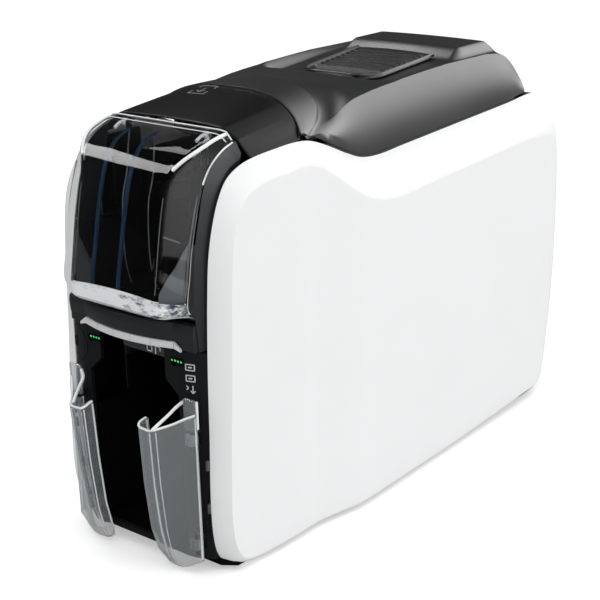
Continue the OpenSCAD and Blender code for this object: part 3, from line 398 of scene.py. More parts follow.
# each finish: the record's material slot, its maker, then that maker's own values in order
recipes = {
    "shellWhite": ("white_shell", mouldedPlastic, (0.82, 0.825, 0.83), 0.46, 900, 0.000006, 0.012, 0.4),
    "bezelCharcoal": ("charcoal_plastic", mouldedPlastic, (0.015, 0.0175, 0.019), 0.42, 1100, 0.000008, 0.1, 0.4),
    "panelBlack": ("black_plastic", mouldedPlastic, (0.0035, 0.0038, 0.0042), 0.32, 1300, 0.000004, 0.1, 0.22),
    "coverGrey": ("cover_plastic", mouldedPlastic, (0.014, 0.0145, 0.0155), 0.33, 1000, 0.000006, 0.08, 1.0),
    "chassisBlack": ("black_chassis_plastic", mouldedPlastic, (0.003, 0.003, 0.0034), 0.6, 260, 0.000001, 0.15, 0.05),
    "innerGrey": ("grey_plastic", mouldedPlastic, (0.075, 0.08, 0.085), 0.45, 800, 0.00002, 0.1),
    "tabGrey": ("grey_plastic", mouldedPlastic, (0.028, 0.030, 0.032), 0.5, 1000, 0.00002, 0.1),
    # door: clear, with a painted whitish sheen on its sideways walls where they are seen edge on
    "doorClear": ("clear_plastic", clearWithPaintedSheen, (0.97, 0.98, 0.985), 0.015, 1.24, (0.88, 0.90, 0.90), 0.0, (0.46, 0.62),
                  0.92, True),
    # wings: clear, with a painted whitish sheen over the faces that grows where they are seen edge on
    "wingClear": ("clear_plastic", clearWithPaintedSheen, (0.9, 0.93, 0.94), 0.06, 1.3, (0.62, 0.66, 0.67), 0.16, (0.45, 0.8),
                  0.6),
    "bladeClear": ("clear_plastic", clearPlastic, (0.99, 0.99, 1.0), 0.02, 1.03),
    "bladeBlue": ("clear_plastic", mouldedPlastic, (0.010, 0.034, 0.075), 0.3, 400, 0.000004, 0.1),
    "edgeGrey": ("clear_plastic", mouldedPlastic, (0.11, 0.118, 0.125), 0.3, 500, 0.000004, 0.1),
    # painted highlight: a near-white finish for bright edges, beads and hinge lugs
    "edgeMilk": ("clear_plastic", clearWithPaintedSheen, (0.9, 0.92, 0.93), 0.1, 1.4, (0.92, 0.94, 0.95), 0.9, (0.2, 0.9), 0.97),
    # painted reflections: light and dark flecks on the door's lip
    "lipFrost": ("clear_plastic", paintedGlintBar, (0.93, 0.95, 0.96), (0.055, 0.085, 0.115)),
    "webGrey": ("grey_plastic", mouldedPlastic, (0.082, 0.092, 0.102), 0.4, 500, 0.00001, 0.12),
    "plateBlack": ("charcoal_plastic", mouldedPlastic, (0.0085, 0.0095, 0.0102), 0.42, 1100, 0.000004, 0.1, 0.12),
    "padBlack": ("black_plastic", mouldedPlastic, (0.014, 0.0145, 0.0155), 0.34, 1200, 0.000003, 0.1, 0.85),
    # light bar: clear, almost all painted whitish sheen in place of its highlights
    "barClear": ("clear_plastic", clearWithPaintedSheen, (0.8, 0.83, 0.84), 0.2, 1.4, (0.74, 0.77, 0.78), 0.88, (0.2, 0.9), 0.95),
    "rubberBlack": ("rubber", lumpy, (0.02, 0.02, 0.021), 0.8, 260, 0.00004),
    "rollerGrey": ("roller_rubber", lumpy, (0.10, 0.10, 0.11), 0.7, 500, 0.00003, 0.15),
    "cleanerPink": ("cleaning_rubber", lumpy, (0.42, 0.10, 0.18), 0.35, 200, 0.00001, 0.08),
    "shaftSteel": ("steel", metalFinish, (0.60, 0.61, 0.63), 0.28, (1, 40, 40)),
    "platedSteel": ("plated_steel", metalFinish, (0.50, 0.53, 0.57), 0.4, (1, 1, 6), 60),
    "brassTurned": ("brass", metalFinish, (0.70, 0.52, 0.22), 0.3, (40, 1, 1)),
    "gearNatural": ("gear_plastic", mouldedPlastic, (0.70, 0.67, 0.58), 0.45, 600, 0.00002, 0.05),
    "motorPaint": ("motor_can", mouldedPlastic, (0.09, 0.095, 0.10), 0.38, 500, 0.00002, 0.1),
    "boardMask": ("board", boardFinish, (0.012, 0.09, 0.04), (0.03, 0.16, 0.07), (0.01, 0.07, 0.035)),
    "ribbonFilm": ("ribbon_dark", lumpy, (0.03, 0.018, 0.05), 0.25, 120, 0.000006, 0.4),
    "headCeramic": ("head_ceramic", metalFinish, (0.50, 0.42, 0.34), 0.35, (30, 1, 1)),
    "ledLens": ("led_green", ledFinish, (0.02, 0.30, 0.05), (0.05, 0.55, 0.12), (0.03, 0.55, 0.10)),
    "iconWhite": ("white_shell", printFinish, (0.62, 0.64, 0.65)),
    "iconGrey": ("grey_plastic", printFinish, (0.16, 0.165, 0.17)),
}
finishes = {name: maker(name, *values) for name, (_, maker, *values) in recipes.items()}
nodeFinish = {
    "chassisBlack": ["base_tray", "card_hopper", "card_weight", "output_tray", "fan_frame", "fan_rotor", "board_parts",
                     "button_switch"],
    "rubberBlack": ["rubber_feet", "cover_seal"],
    "shellWhite": ["left_side_panel", "right_side_panel"],
    "bezelCharcoal": ["rear_panel", "front_bezel"],
    "plateBlack": ["lower_front_plate", "power_button"],
    "shaftSteel": ["rear_sockets", "chassis_tie_rods", "pick_shaft", "feed_shaft", "platen_shaft", "exit_shaft",
                   "card_weight_pin", "door_hinge_pins", "wing_hinge_pins", "latch_hook", "latch_keeper",
                   "cover_hinge_pin", "feed_pinch_roller", "exit_pinch_roller"],
    "platedSteel": ["left_chassis_plate", "right_chassis_plate", "cover_hinge_brackets", "printhead_carrier"],
    "gearNatural": ["roller_bushes", "front_idler_gear", "middle_idler_gear", "rear_idler_gear"],
    "rollerGrey": ["pick_roller", "feed_roller", "platen_roller", "exit_roller"],
    "cleanerPink": ["cleaning_roller"], "brassTurned": ["motor_pinion"], "motorPaint": ["drive_motor"],
    "boardMask": ["main_board"], "innerGrey": ["hopper_gussets"], "panelBlack": ["hopper_top_panel", "cover_latch_pad"],
    "tabGrey": ["feed_slot_tab"], "barClear": ["light_bar"], "ledLens": ["status_leds"], "doorClear": ["hopper_door"],
    "wingClear": ["left_tray_wing", "right_tray_wing"],
    "ribbonFilm": ["ribbon_supply_spool", "ribbon_takeup_spool", "ribbon_film"],
    "coverGrey": ["top_cover"], "headCeramic": ["printhead"],
}
for finish, nodes in nodeFinish.items():
    for node in nodes:
        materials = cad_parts[node].data.materials
        materials.clear()
        materials.append(finishes[finish])
print("finishes made:", len(finishes))


def place(obj, finish, body="housing", replaces=()):
    obj.data.materials.clear()
    obj.data.materials.append(finishes[finish])
    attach(obj, body)
    if replaces:
        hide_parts(*replaces)


# camera
view = {
    "azimuth": 38.5, "elevation": 19.7, "roll": -1.2, "place": (0.5477, -0.7083, 0.4325), "lens": 82.63, "sensor": 36}
az, el, roll = (math.radians(view[k]) for k in ("azimuth", "elevation", "roll"))
back = Vector((math.sin(az) * math.cos(el), -math.cos(az) * math.cos(el), math.sin(el)))
right = (-back).cross(Vector((0, 0, 1))).normalized()
up = right.cross(-back)
right, up = right * math.cos(roll) + up * math.sin(roll), up * math.cos(roll) - right * math.sin(roll)
camera = bpy.data.objects.new("view", bpy.data.cameras.new("view"))
camera.data.lens = view["lens"]
camera.data.sensor_width = view["sensor"]
camera.matrix_world = Matrix((right, up, back)).transposed().to_4x4()
camera.location = view["place"]
bpy.context.scene.collection.objects.link(camera)
bpy.context.scene.camera = camera

# body outline, shared by panels and cover
body = {"length": 379, "frontHalf": 67.5, "waistHalf": 71, "rearHalf": 79, "flareStart": 80, "flareEnd": 130,
        "crest": 250.6, "dip": 226.3, "dipFrom": 80, "dipTo": 160, "tail": 233.2, "topGap": 62.6}


def halfWidth(y):
    # three widths joined by smooth steps
    return (mix(body["frontHalf"], body["waistHalf"], ease(y, 4, body["flareStart"]))
            + (body["rearHalf"] - body["waistHalf"]) * ease(y, body["flareStart"], body["flareEnd"]))


def topZ(y):
    # the panels' top: level, down a smooth step, then a slow rise, with a round fall at the very front
    y = np.asarray(y, float)
    rise = (body["tail"] - body["dip"]) / (body["length"] - body["dipTo"])
    return (body["crest"] - (body["crest"] - body["dip"]) * ease(y, body["dipFrom"], body["dipTo"])
            + rise * np.maximum(0, y - body["dipTo"]) - 16 * np.maximum(0, 1 - y / 42) ** 2)


def tailY(z):
    # the rear edge: it draws in by powers of the height near the foot and the top
    z = np.asarray(z, float)
    return body["length"] - 16 * np.maximum(0, 1 - z / 110) ** 1.5 - 8 * np.maximum(0, (z - 150) / 85) ** 1.6


# side panels
# A panel is a closed loop round its outline. Each place on the loop has an inner edge, a crease and a bulge between
# them, and inside the crease the flat face shrinks towards the middle, its width following the body.
panel = {
    "wall": 2.6, "front": 80, "top": 130, "band": 12, "insets": (0.6, 1.6, 3.2), "rearRound": 10.5,
    "frontEdge": [(55.2, 8.4, 10.0), (55, 4.2, 24), (55, 3.0, 49), (55, 4.4, 90), (55, 5.2, 125), (55.4, 5.8, 150),
                  (56, 6.6, 174), (56.6, 8.2, 197), (57, 11.6, 213.8), (57.4, 17.0, 229), (58.2, 24, 240),
                  (60, 34, 246.4), (61.6, 46, 249.2), (62.6, 60, 250.3)],
    "frontCrease": [(67.5, 12.2, 16.0), (67.5, 8.6, 29), (67.5, 7.8, 49), (67.5, 9.6, 90), (67.5, 12, 125),
                    (67.6, 13.2, 150), (67.7, 14.4, 174), (67.8, 16.0, 195), (67.9, 17.8, 208), (68.1, 21.8, 221),
                    (68.7, 29.6, 230.6), (69.4, 41, 235), (70.1, 53, 236.6), (70.7, 64, 236.7)],
    "topYs": [78, 92, 104, 116, 130, 146, 164, 190, 230, 280, 325],
    "topCorner": [((62.6, 354, 233.0), (79, 346, 205.6)), ((64.2, 367.2, 231.2), (79, 359.5, 203.5)),
                  ((68.0, 372.0, 221), (79, 364.0, 199.5))],
    "rearZs": [196, 160, 120, 80, 50, 28],
    "rearFoot": [((70, 364.5, 12), (79, 354, 12.5)), ((74, 354, 7.0), (79, 346, 9.6))],
    "lowYs": [330, 280, 220, 170, 140, 122, 104, 86, 64, 44],
    "frontFoot": [((62.2, 27, 3.1), (67.5, 31, 5.4)), ((57.4, 14.8, 5.2), (67.5, 18.6, 8.4))],
}


def lowZ(y):
    return 3.2 + 4 * ease(y, 230, body["length"])


stretches = [  # places as pairs of edge and crease, with how far the band between them bulges
    (list(zip(panel["frontEdge"], panel["frontCrease"])), 0.07),
    ([((body["topGap"], y, topZ(y)), (halfWidth(y), y, topZ(y) - 13 - 12 * ease(y, 80, 130)))
      for y in panel["topYs"]], 0.13),
    (panel["topCorner"], 0.2),
    ([((69, tailY(z), z), (79, tailY(z) - panel["rearRound"], z - 3)) for z in panel["rearZs"]], 0.46),
    (panel["rearFoot"], 0.42),
    ([((halfWidth(y) - 2.2, y, lowZ(y)), (halfWidth(y), y, lowZ(y) + 2.6)) for y in panel["lowYs"]], 0.42),
    (panel["frontFoot"], 0.3),
]
places = [(*edge, *fold, bulge) for pairs, bulge in stretches for edge, fold in pairs]
ends = np.cumsum([len(pairs) for pairs, _ in stretches])
corners = [0, 10, ends[2] - 2, ends[4] - 2]  # places on the loop where its four sides meet
loop = curveThrough(np.array(places, float), (panel["front"], panel["top"]) * 2, closed=True, corners=corners)
innerEdge, creaseEdge, bulgeBy = loop[:, :3], loop[:, 3:6], loop[:, 6:]
creaseEdge[:, 0] = halfWidth(creaseEdge[:, 1])
across = creaseEdge - innerEdge
width = np.linalg.norm(across, axis=1)[:, None]
both = innerEdge + creaseEdge
outDir = np.cross(np.roll(both, -1, 0) - np.roll(both, 1, 0), across)
outDir /= np.linalg.norm(outDir, axis=1)[:, None]
outDir *= np.sign(outDir[:, :1] + 1e-9)
middle = both / 2 + outDir * bulgeBy * width

# the band: a parabola from inner edge to crease at each place, after a small lip turned in behind the edge
t = np.linspace(0, 1, panel["band"])[:, None, None]
lip = innerEdge - 0.10 * across / width - outDir * 0.9
band = (1 - t) ** 2 * innerEdge + 2 * t * (1 - t) * middle + t * t * creaseEdge
towards = [creaseEdge + ((0, 200, 118) - creaseEdge) * (0, inset / 185, inset / 112) for inset in panel["insets"]]
panelBand = np.concatenate([lip[None], band, towards])
panelBand[-len(towards):, :, 0] = halfWidth(panelBand[-len(towards):, :, 1])

# the flat face inside the band: a patch stretched between the ring's four sides, its width following the body
high, long = panel["front"], panel["top"]
ring = np.vstack([panelBand[-1], panelBand[-1][:1]])
front, top = ring[: high + 1], ring[high: high + long + 1]
rear, low = ring[high + long: 2 * high + long + 1][::-1], ring[2 * high + long:][::-1]
u = np.linspace(0, 1, high + 1)[:, None, None]
v = np.linspace(0, 1, long + 1)[None, :, None]
panelFace = ((1 - v) * front[:, None] + v * rear[:, None] + (1 - u) * low[None] + u * top[None]
             - (1 - u) * (1 - v) * front[0] - u * (1 - v) * front[-1] - (1 - u) * v * rear[0] - u * v * rear[-1])
panelFace[..., 0] = halfWidth(panelFace[..., 1])
skin = np.vstack([panelBand.reshape(-1, 3), panelFace.reshape(-1, 3)])
bandFaces = gridFaces(*panelBand.shape[:2], wrap=True)
faces = np.vstack([bandFaces, gridFaces(*panelFace.shape[:2]) + len(panelBand) * panelBand.shape[1]])
for side, name in ((1, "Right"), (-1, "Left")):
    obj = faceOut(makeMesh("sidePanel" + name, skin * (side, 1, 1), faces, smoothAngle=38))
    faceOut(obj, lambda c, s=side: (s, 0, 0.2))
    addWall(obj, panel["wall"])
    place(obj, "shellWhite", replaces=[name.lower() + "_side_panel"])
print("side panels made")

# hopper door
door = {
    "wall": 1.7, "rows": 90, "half": 50, "flat": 30.5, "flare": 9.5, "flatShare": 0.56, "turnShare": 0.22, "bow": 0.9,
    "hinge": (38.4, 258.2),
    "front": [(-2.5, 162), (-5.6, 161.4), (-9, 161.9), (-11.8, 164.4), (-12.8, 170), (-11.4, 180), (-9.3, 192),
              (-6.4, 208), (-3, 224), (0.8, 237), (5.2, 246), (12, 252.8), (20.6, 257.4), (30, 260.4), (41.6, 262.6)],
    "rear": [(1, 163.6), (-0.4, 164.4), (-2, 166), (-3.0, 168), (-3.4, 171), (-3, 176), (-1.2, 184), (1.6, 200),
             (6.2, 217), (10.2, 229), (14.8, 239), (20.2, 246), (26.5, 251.2), (33, 254.6), (41, 256.8)],
}
profile = curveThrough(np.hstack([door["front"], door["rear"]]), door["rows"])


def doorPoint(u, v):
    # the outer skin: v runs up the profile, u across from -1 to 1. A flat front that widens towards the top and is
    # bowed by a sine in height, a tight corner by a square law, then a cheek slanted back to the rear profile
    u, v = np.broadcast_arrays(np.asarray(u, float), np.asarray(v, float))
    steps = np.arange(door["rows"])
    frontY, frontZ, rearY, rearZ = (np.interp(v * steps[-1], steps, profile[:, c]) for c in range(4))
    s, flatShare, turnShare = np.abs(u), door["flatShare"], door["turnShare"]
    t = np.clip((s - flatShare) / (1 - flatShare), 0, 1)
    turn, cheek = np.clip(t / turnShare, 0, 1), np.clip((t - turnShare) / (1 - turnShare), 0, 1)
    flat = door["flat"] + door["flare"] * ease(v, 0.60, 0.84)
    corner = flat + 1.5 * turn + 3.2 * turn**2
    x = np.where(s < flatShare, s / flatShare * flat, corner + (door["half"] - 4.7 - flat) * cheek)
    share = np.where(s < flatShare, 0, 0.10 * turn**2 + 0.90 * cheek)
    bow = door["bow"] * (1 - (np.clip(x, 0, 32) / 32) ** 2) * np.sin(np.pi * v)
    return np.stack([np.sign(u) * x, mix(frontY, rearY, share) - bow, mix(frontZ, rearZ, share)], -1)


def doorInside(u, v, depth):
    # a point set in from the door's skin, towards the middle of the hopper
    p = doorPoint(u, v)
    inward = (0, 26, 205) - p
    inward[..., 0] *= 0.55
    return p + inward / np.linalg.norm(inward, axis=-1)[..., None] * depth


def doorLevel(z):
    # how far up the profile a height lies, above the rounded foot
    return np.interp(z, profile[9:, 1], np.linspace(0, 1, door["rows"])[9:])


skin = doorPoint(np.linspace(-1, 1, 121)[None, :], np.linspace(0, 1, door["rows"])[:, None])
obj = sheet("hopperDoor", skin, lambda c: (0, -1, 0.3), door["wall"], angle=32, edgeRound=0.3)
# its finish paints a whitish sheen on the side walls where they are seen edge on
place(obj, "doorClear", "hopper_door", ["hopper_door"])

# two clear blades that hold the cards back, with a tinted front edge
blade = {
    "at": (-18.0, 2.8), "half": 0.5, "tintHalf": 1.05, "tintDeep": (1.3, -0.3),
    "front": [(-10.5, 170), (-10.4, 176), (-8.4, 187), (-6.0, 197), (-3.0, 211), (-0.9, 219), (2.8, 233), (6.0, 241.5),
              (10.6, 248.8), (15.2, 253.6), (21.4, 256.6), (28.2, 258.2)],
    "back": [(21.4, 166), (18.8, 175), (17.3, 188), (17.3, 200), (17.9, 212), (19.4, 222), (22.6, 231), (24.6, 239),
             (25.4, 246), (26.2, 251), (27.0, 255), (27.8, 257.4)],
}


def stripBetween(x, half, a, b):
    # rings of a flat strip that stands between two edges in y and z
    corners = ((-half, a), (-half, b), (half, b), (half, a))
    return np.stack([np.insert(edge, 0, x + across, 1) for across, edge in corners], 1)


edge, tail = curveThrough(blade["front"], 60), curveThrough(blade["back"], 60)
blades, tints, backs = [], [], []
for x in blade["at"]:
    blades.append(solidLoft("blade", stripBetween(x, blade["half"], edge, tail)))
    tints.append(solidLoft("tint", stripBetween(x, blade["tintHalf"], edge, edge + blade["tintDeep"])))
    backs.append(tubeAlong("back", np.insert(tail, 0, x, 1), 0.42, 6))
place(joinPieces("doorBlades", blades), "bladeClear", "hopper_door")
place(joinPieces("bladeTints", tints), "bladeBlue", "hopper_door")
place(joinPieces("bladeBacks", backs), "edgeGrey", "hopper_door")

# thick lip along the foot of the door: a closed section swept across, lower towards the sides
u = np.linspace(-0.985, 0.985, 91)
top = doorLevel(172.5 - 3.6 * u**2)
foot, low, high = doorInside(u, 0.035, 0.4), doorInside(u, 0.075, -0.25), doorInside(u, top, 0.2)
section = [foot, low, mix(low, high, 0.5), high, doorInside(u, top, 3.2), doorInside(u, 0.05, 3.4)]
# its finish paints the reflections of a thick clear bar
place(solidLoft("doorLip", np.stack(section, 1), 30), "lipFrost", "hopper_door")

# beads round the crown in near-white, painted highlights along the corners; grey lines down the cheeks, arms and eyes
# of the hinge, slanted webs in the foot
trims = [  # group, from and to across, from and to up, points, depth, radius, sides
    ("glintBeads", 0.60, 0.70, doorLevel(246), 0.985, 40, 0.3, 1.15, 10),
    ("glintBeads", 0.995, 0.995, doorLevel(245), 0.99, 24, 0.2, 0.6, 8),
    ("lines", 0.975, 0.975, doorLevel(176), doorLevel(240), 50, 1.0, 0.45, 6),
    ("lines", 0.625, 0.625, doorLevel(176), doorLevel(232), 50, 1.6, 0.3, 6),
    ("lines", 0.66, 0.86, doorLevel(210.5), doorLevel(211.5), 16, 2.6, 0.4, 6),
]
hook = curveThrough([(29.5, 256.4), (32, 257.6), (35, 258.6), (38.4, 258.2)], 22)
webU = np.linspace(0.66, 0.965, 24)
webTop = doorLevel(np.interp(webU, [0.66, 0.965], [177, 214]))
webV = mix(doorLevel(169), webTop, np.linspace(0, 1, 16)[:, None])
groups = {"glintBeads": [], "lines": [], "lugs": [], "webs": []}
for side in (-1, 1):
    for group, u0, u1, v0, v1, count, depth, radius, sides in trims:
        path = doorInside(side * np.linspace(u0, u1, count), np.linspace(v0, v1, count), depth)
        groups[group].append(tubeAlong("trim", path, radius, sides))
    groups["lugs"].append(tubeAlong("arm", np.insert(hook, 0, side * 32.3, 1), 1.0, 10))
    groups["lugs"].append(plateOf("eye", circleAt(*door["hinge"], 2.0, 28), *span(side, 30.8, 33.8), axis="x"))
    groups["webs"].append(sheet("web", doorInside(side * webU, webV, 2.4), lambda c, s=side: (s, -1, 0)))
# two bead lines along the top rear edge, more painted highlights
for reach, level, lift, radius in ((0.93, 0.992, 0.2, 0.45), (0.90, 0.955, 0.1, 0.3)):
    groups["glintBeads"].append(tubeAlong("rear", doorPoint(np.linspace(-reach, reach, 81), level) + (0, 0, lift), radius))
for group, finish in (("glintBeads", "edgeMilk"), ("lines", "edgeGrey"), ("lugs", "edgeMilk"), ("webs", "webGrey")):
    obj = joinPieces("door" + group.capitalize(), groups[group])
    if group == "webs":
        addWall(obj, 0.4)
    place(obj, finish, "hopper_door")
print("hopper door made")

# clear wings
wing = {
    "low": 3, "top": 97, "wall": 1.5, "pin": (47.6, -0.8),
    "leftOpen": 4.5,  # degrees that the left wing stands open at rest
    "path": {  # section knots at five heights, from the inner rear edge round the strip in front to the outer wall
        97: [(21.3, -12.0), (21.0, -15.6), (21.0, -18.6), (22.2, -20.2), (27, -20.8), (31.4, -20.8), (33.2, -20.0),
             (36.3, -16.6), (41.6, -11.6), (47.0, -7.2), (52.5, -3.4)],
        60: [(21.3, -10.0), (21.0, -13.6), (21.0, -16.6), (22.0, -18.2), (26, -18.8), (29.8, -18.8), (31.6, -18.0),
             (34.0, -15.2), (40.0, -10.4), (46.4, -6.4), (52.5, -3.4)],
        28: [(21.4, -7.0), (21.0, -10.2), (21.0, -13.0), (21.8, -14.4), (25, -15.0), (28.0, -15.0), (30.4, -14.4),
             (33.6, -12.4), (39.8, -8.4), (46.4, -5.4), (52.5, -3.4)],
        12: [(21.6, -3.6), (21.2, -5.6), (21.2, -8.0), (21.8, -9.4), (23.6, -10.2), (26.4, -10.6), (30.0, -10.6),
             (34.6, -9.4), (40.4, -7.0), (46.8, -4.8), (52.5, -3.4)],
        3: [(22.6, -0.8), (22.6, -1.6), (22.4, -2.8), (22.8, -3.4), (24.2, -4.4), (27.6, -5.4), (33.0, -5.8),
            (38.0, -5.4), (42.6, -4.8), (47.4, -4.0), (52.4, -3.4)],
    },
    "rim": [100, 99.5, 98.5, 97.6, 97, 97, 97.4, 98.4, 100.5, 103.5, 106],  # it rises towards the plate
    "foot": [5.5, 5, 4.4, 4, 3.6, 3.2, 3.0, 3.4, 5.2, 8.0, 10.5],
    "bar": [(32.8, -19.6, 97.8), (34.6, -15.6, 100.8), (36.6, -10.2, 104.4), (38.8, -4.6, 108.6), (42, -2.8, 111.8)],
    "columns": {2: 0.55, 15: 0.4, 34: 0.45, 41: 0.35},  # painted highlight lines down the skin: column and radius
    "knuckles": (17.3, 85.3), "clips": (72, 44),
}


def wingSkin(rows, cols):
    # rows from foot to rim: knots blended between the given heights, then a smooth curve through each row
    heights = sorted(wing["path"])
    table = np.array([wing["path"][h] for h in heights])
    grid = []
    for t in np.linspace(0, 1, rows):
        at = mix(wing["low"], wing["top"], t)
        knots = [[np.interp(at, heights, table[:, k, c]) for c in (0, 1)] for k in range(table.shape[1])]
        z = mix(np.array(wing["foot"]), np.array(wing["rim"]), t)
        grid.append(curveThrough(np.column_stack([knots, z]), cols))
    return np.array(grid)


rightWing = wingSkin(56, 90)
for side, name in ((1, "right"), (-1, "left")):
    points = rightWing * (side, 1, 1)
    pin = np.array((side * wing["pin"][0], wing["pin"][1]))
    if side < 0:
        turn = math.radians(wing["leftOpen"])
        c, s = math.cos(turn), math.sin(turn)
        points[..., :2] = pin + (points[..., :2] - pin) @ [[c, -s], [s, c]]
    wingBody = name + "_tray_wing"
    obj = sheet(name + "Wing", points, lambda c: (0, -1, 0), wing["wall"], angle=40, edgeRound=0.3)
    # the wing's finish paints a whitish sheen that grows where the wall is seen edge on
    place(obj, "wingClear", wingBody, [wingBody])
    # tubes in painted highlight white along the rims and down the skin, and the bar and post in the same white
    paths = [(points[-1, 2:-2], 0.75), (points[0, 3:-2], 0.6)]
    paths += [(points[2:-1, column], radius) for column, radius in wing["columns"].items()]
    paths.append((points[1:-1, -3], 0.5))
    rims = [tubeAlong("edge", path + (side * -0.3, 0.8, 0), radius) for path, radius in paths]
    rims.append(tubeAlong("bar", curveThrough(wing["bar"], 40) * (side, 1, 1), 1.0, 10))
    rims.append(tubeAlong("post", [(side * 52.2, -2.2, z) for z in np.linspace(97, 114, 8)], 0.8))
    place(joinPieces(name + "WingGlintRims", rims), "edgeMilk", wingBody)
    knuckles = []
    for z in wing["knuckles"]:
        strap = roundedRing(*span(side, 43.2, 48.6), -3.9, -1.7, 0.5)
        knuckles += [plateOf("knuckle", outline, z, z + 7, axis="z") for outline in (circleAt(*pin, 2.4, 24), strap)]
    place(joinPieces(name + "WingKnuckles", knuckles), "wingClear", wingBody)
    leaf = roundedRing(*span(side, 42.5, 52.4), 95, 114.5, 1.5)
    place(plateOf(name + "WingLeaf", leaf, -3.4, -1.9), "wingClear", wingBody)
    outlines = [roundedRing(*span(side, 52.9, 54.8), z - 3.2, z + 3.2, 0.6) for z in wing["clips"]]
    place(joinPieces(name + "WingClips", [plateOf("clip", outline, 1.9, 4.6) for outline in outlines]), "innerGrey")
print("wings made")

# top cover
cover = {
    "half": 62, "edge": 57, "wall": 2.2, "lidGap": 1.6, "rearStop": 345,
    "recess": (56, 180, 331, 20),  # half its width, its front and rear, its corners
    "blockTop": 274.8, "blockHalf": 43,
    "rim": [(100, 254), (112, 257.4), (128, 261.4), (146, 264.2), (162, 266), (178, 267), (200, 267.9), (225, 268.7),
            (250, 269.2), (300, 268.4), (316, 266.6), (326, 264.2), (334, 259.6), (342, 254), (350, 247), (357, 240)],
    "roll": [(0.5, 0.35), (1.2, 1.3), (2.2, 2.5), (3.6, 3.4), (5.5, 3.9)],  # behind the crest: how far back and down
    "rows": [(177, 196, 20), (198, 264, 26), (266, 292, 22), (294, 314, 8), (315.5, 352, 34)],
}


def visorFront(x):
    # lower front edge of the visor in plan, and its height
    u = np.abs(x / cover["half"])
    return 97.2 - 10.5 * u**5, 274 - 19.7 * u**3.16


def visorCrest(x):
    # crest of the visor: it closes in on the front edge at the sides
    u = np.abs(x / cover["half"])
    return 129.7 - 37.3 * u**5, 274.9 - 22.35 * u**2.31


def lidHeight(x, y):
    # a dome that meets the rim's height at its edge, a rounded recess sunk in it, a block raised at the recess's rear
    edge = np.interp(y, *np.transpose(cover["rim"]))
    middle = 270.7 - 1.6 * ease(y, 130, 180) + 0.8 * ease(y, 190, 240) - 30 * ease(y, 326, 362)
    dome = middle - (middle - edge) * np.clip(np.abs(x) / cover["edge"], 0, 1) ** 2.6
    half, y0, y1, radius = cover["recess"]
    qx, qy = np.abs(x) - (half - radius), np.abs(y - (y0 + y1) / 2) - ((y1 - y0) / 2 - radius)
    inside = radius - np.hypot(np.maximum(qx, 0), np.maximum(qy, 0)) - np.minimum(np.maximum(qx, qy), 0)
    floor = 262.4 + 4.4 * ease(y, 190, 275) - 1.4 * ease(y, 312, 332)
    bead = 0.5 * ease(inside, -2.5, 0.2) * (1 - ease(inside, 0.4, 2.4))
    sunk = mix(dome, np.minimum(floor, dome - 0.6), ease(inside, 0.6, 8.5)) + bead
    across = 1 - ease(np.abs(x), cover["blockHalf"], cover["blockHalf"] + 7)
    block = ease(y, 270, 288) * across * (1 - ease(y, 319, 334))
    return np.maximum(sunk, mix(sunk, cover["blockTop"] - 0.6 * (np.abs(x) / cover["blockHalf"]) ** 2, block))


def coverGrid():
    # half a lid in columns, the crown out to the edge, then a convex flank down to the base line; and its mirror image
    crown = np.concatenate([np.linspace(0, 40, 22), np.linspace(41.5, cover["edge"], 19)])
    flank = np.linspace(0, 1, 18)[1:]
    x = np.concatenate([crown, mix(cover["edge"], cover["half"], np.sin(flank * np.pi / 2))])
    drop = np.concatenate([np.zeros(len(crown)), flank])
    frontY, frontZ = visorFront(x)
    crestY, crestZ = visorCrest(x)
    rows = []

    def baseAt(y):
        return topZ(np.minimum(y, cover["rearStop"])) + cover["lidGap"]

    def skinAt(y):
        skin = lidHeight(np.minimum(x, cover["edge"]), y)
        return np.where(drop > 0, mix(skin, baseAt(y), drop), skin)

    def addRow(y, z, narrow=1.0):
        base = baseAt(y) + 2.0 * ease(y, 120, 84)
        z = np.where(drop > 0.93, np.minimum(z, base + (1 - drop) * 20), z)
        rows.append(np.stack([x * narrow, y, np.maximum(z, base)], -1))

    for r in np.linspace(0, 1, 13):
        addRow(mix(frontY, crestY, r), mix(frontZ, crestZ, r) + 0.5 * math.sin(math.pi * r))
    side = 1 - 0.45 * (x / cover["half"]) ** 2
    for step, fall in cover["roll"]:
        addRow(crestY + step * side, crestZ - fall * side)
    startY, startZ = rows[-1][:, 1], rows[-1][:, 2]
    for r in np.linspace(0, 1, 22)[1:]:
        y = mix(startY, 176.0, r)
        addRow(y, mix(startZ, skinAt(y), ease(r, 0, 0.55)))
    for y in np.concatenate([np.linspace(*stretch) for stretch in cover["rows"]]):
        y = np.full_like(x, y)
        addRow(y, skinAt(y), 1 - 0.035 * ease(y[0], 326, 354))
    lastX, lastY, lastZ = rows[-1].T
    for down in (2, 4.5, 7):
        rows.append(np.column_stack([lastX * (1 - 0.002 * down), lastY + 0.8, np.maximum(lastZ - down, 234.5)]))
    half = np.array(rows)
    return np.concatenate([half[:, :0:-1] * (-1, 1, 1), half], axis=1)


obj = sheet("topCover", coverGrid(), lambda c: (c.x, 0, 0.05), cover["wall"], angle=28, edgeRound=0.3)
place(obj, "coverGrey", "cover", ["top_cover"])

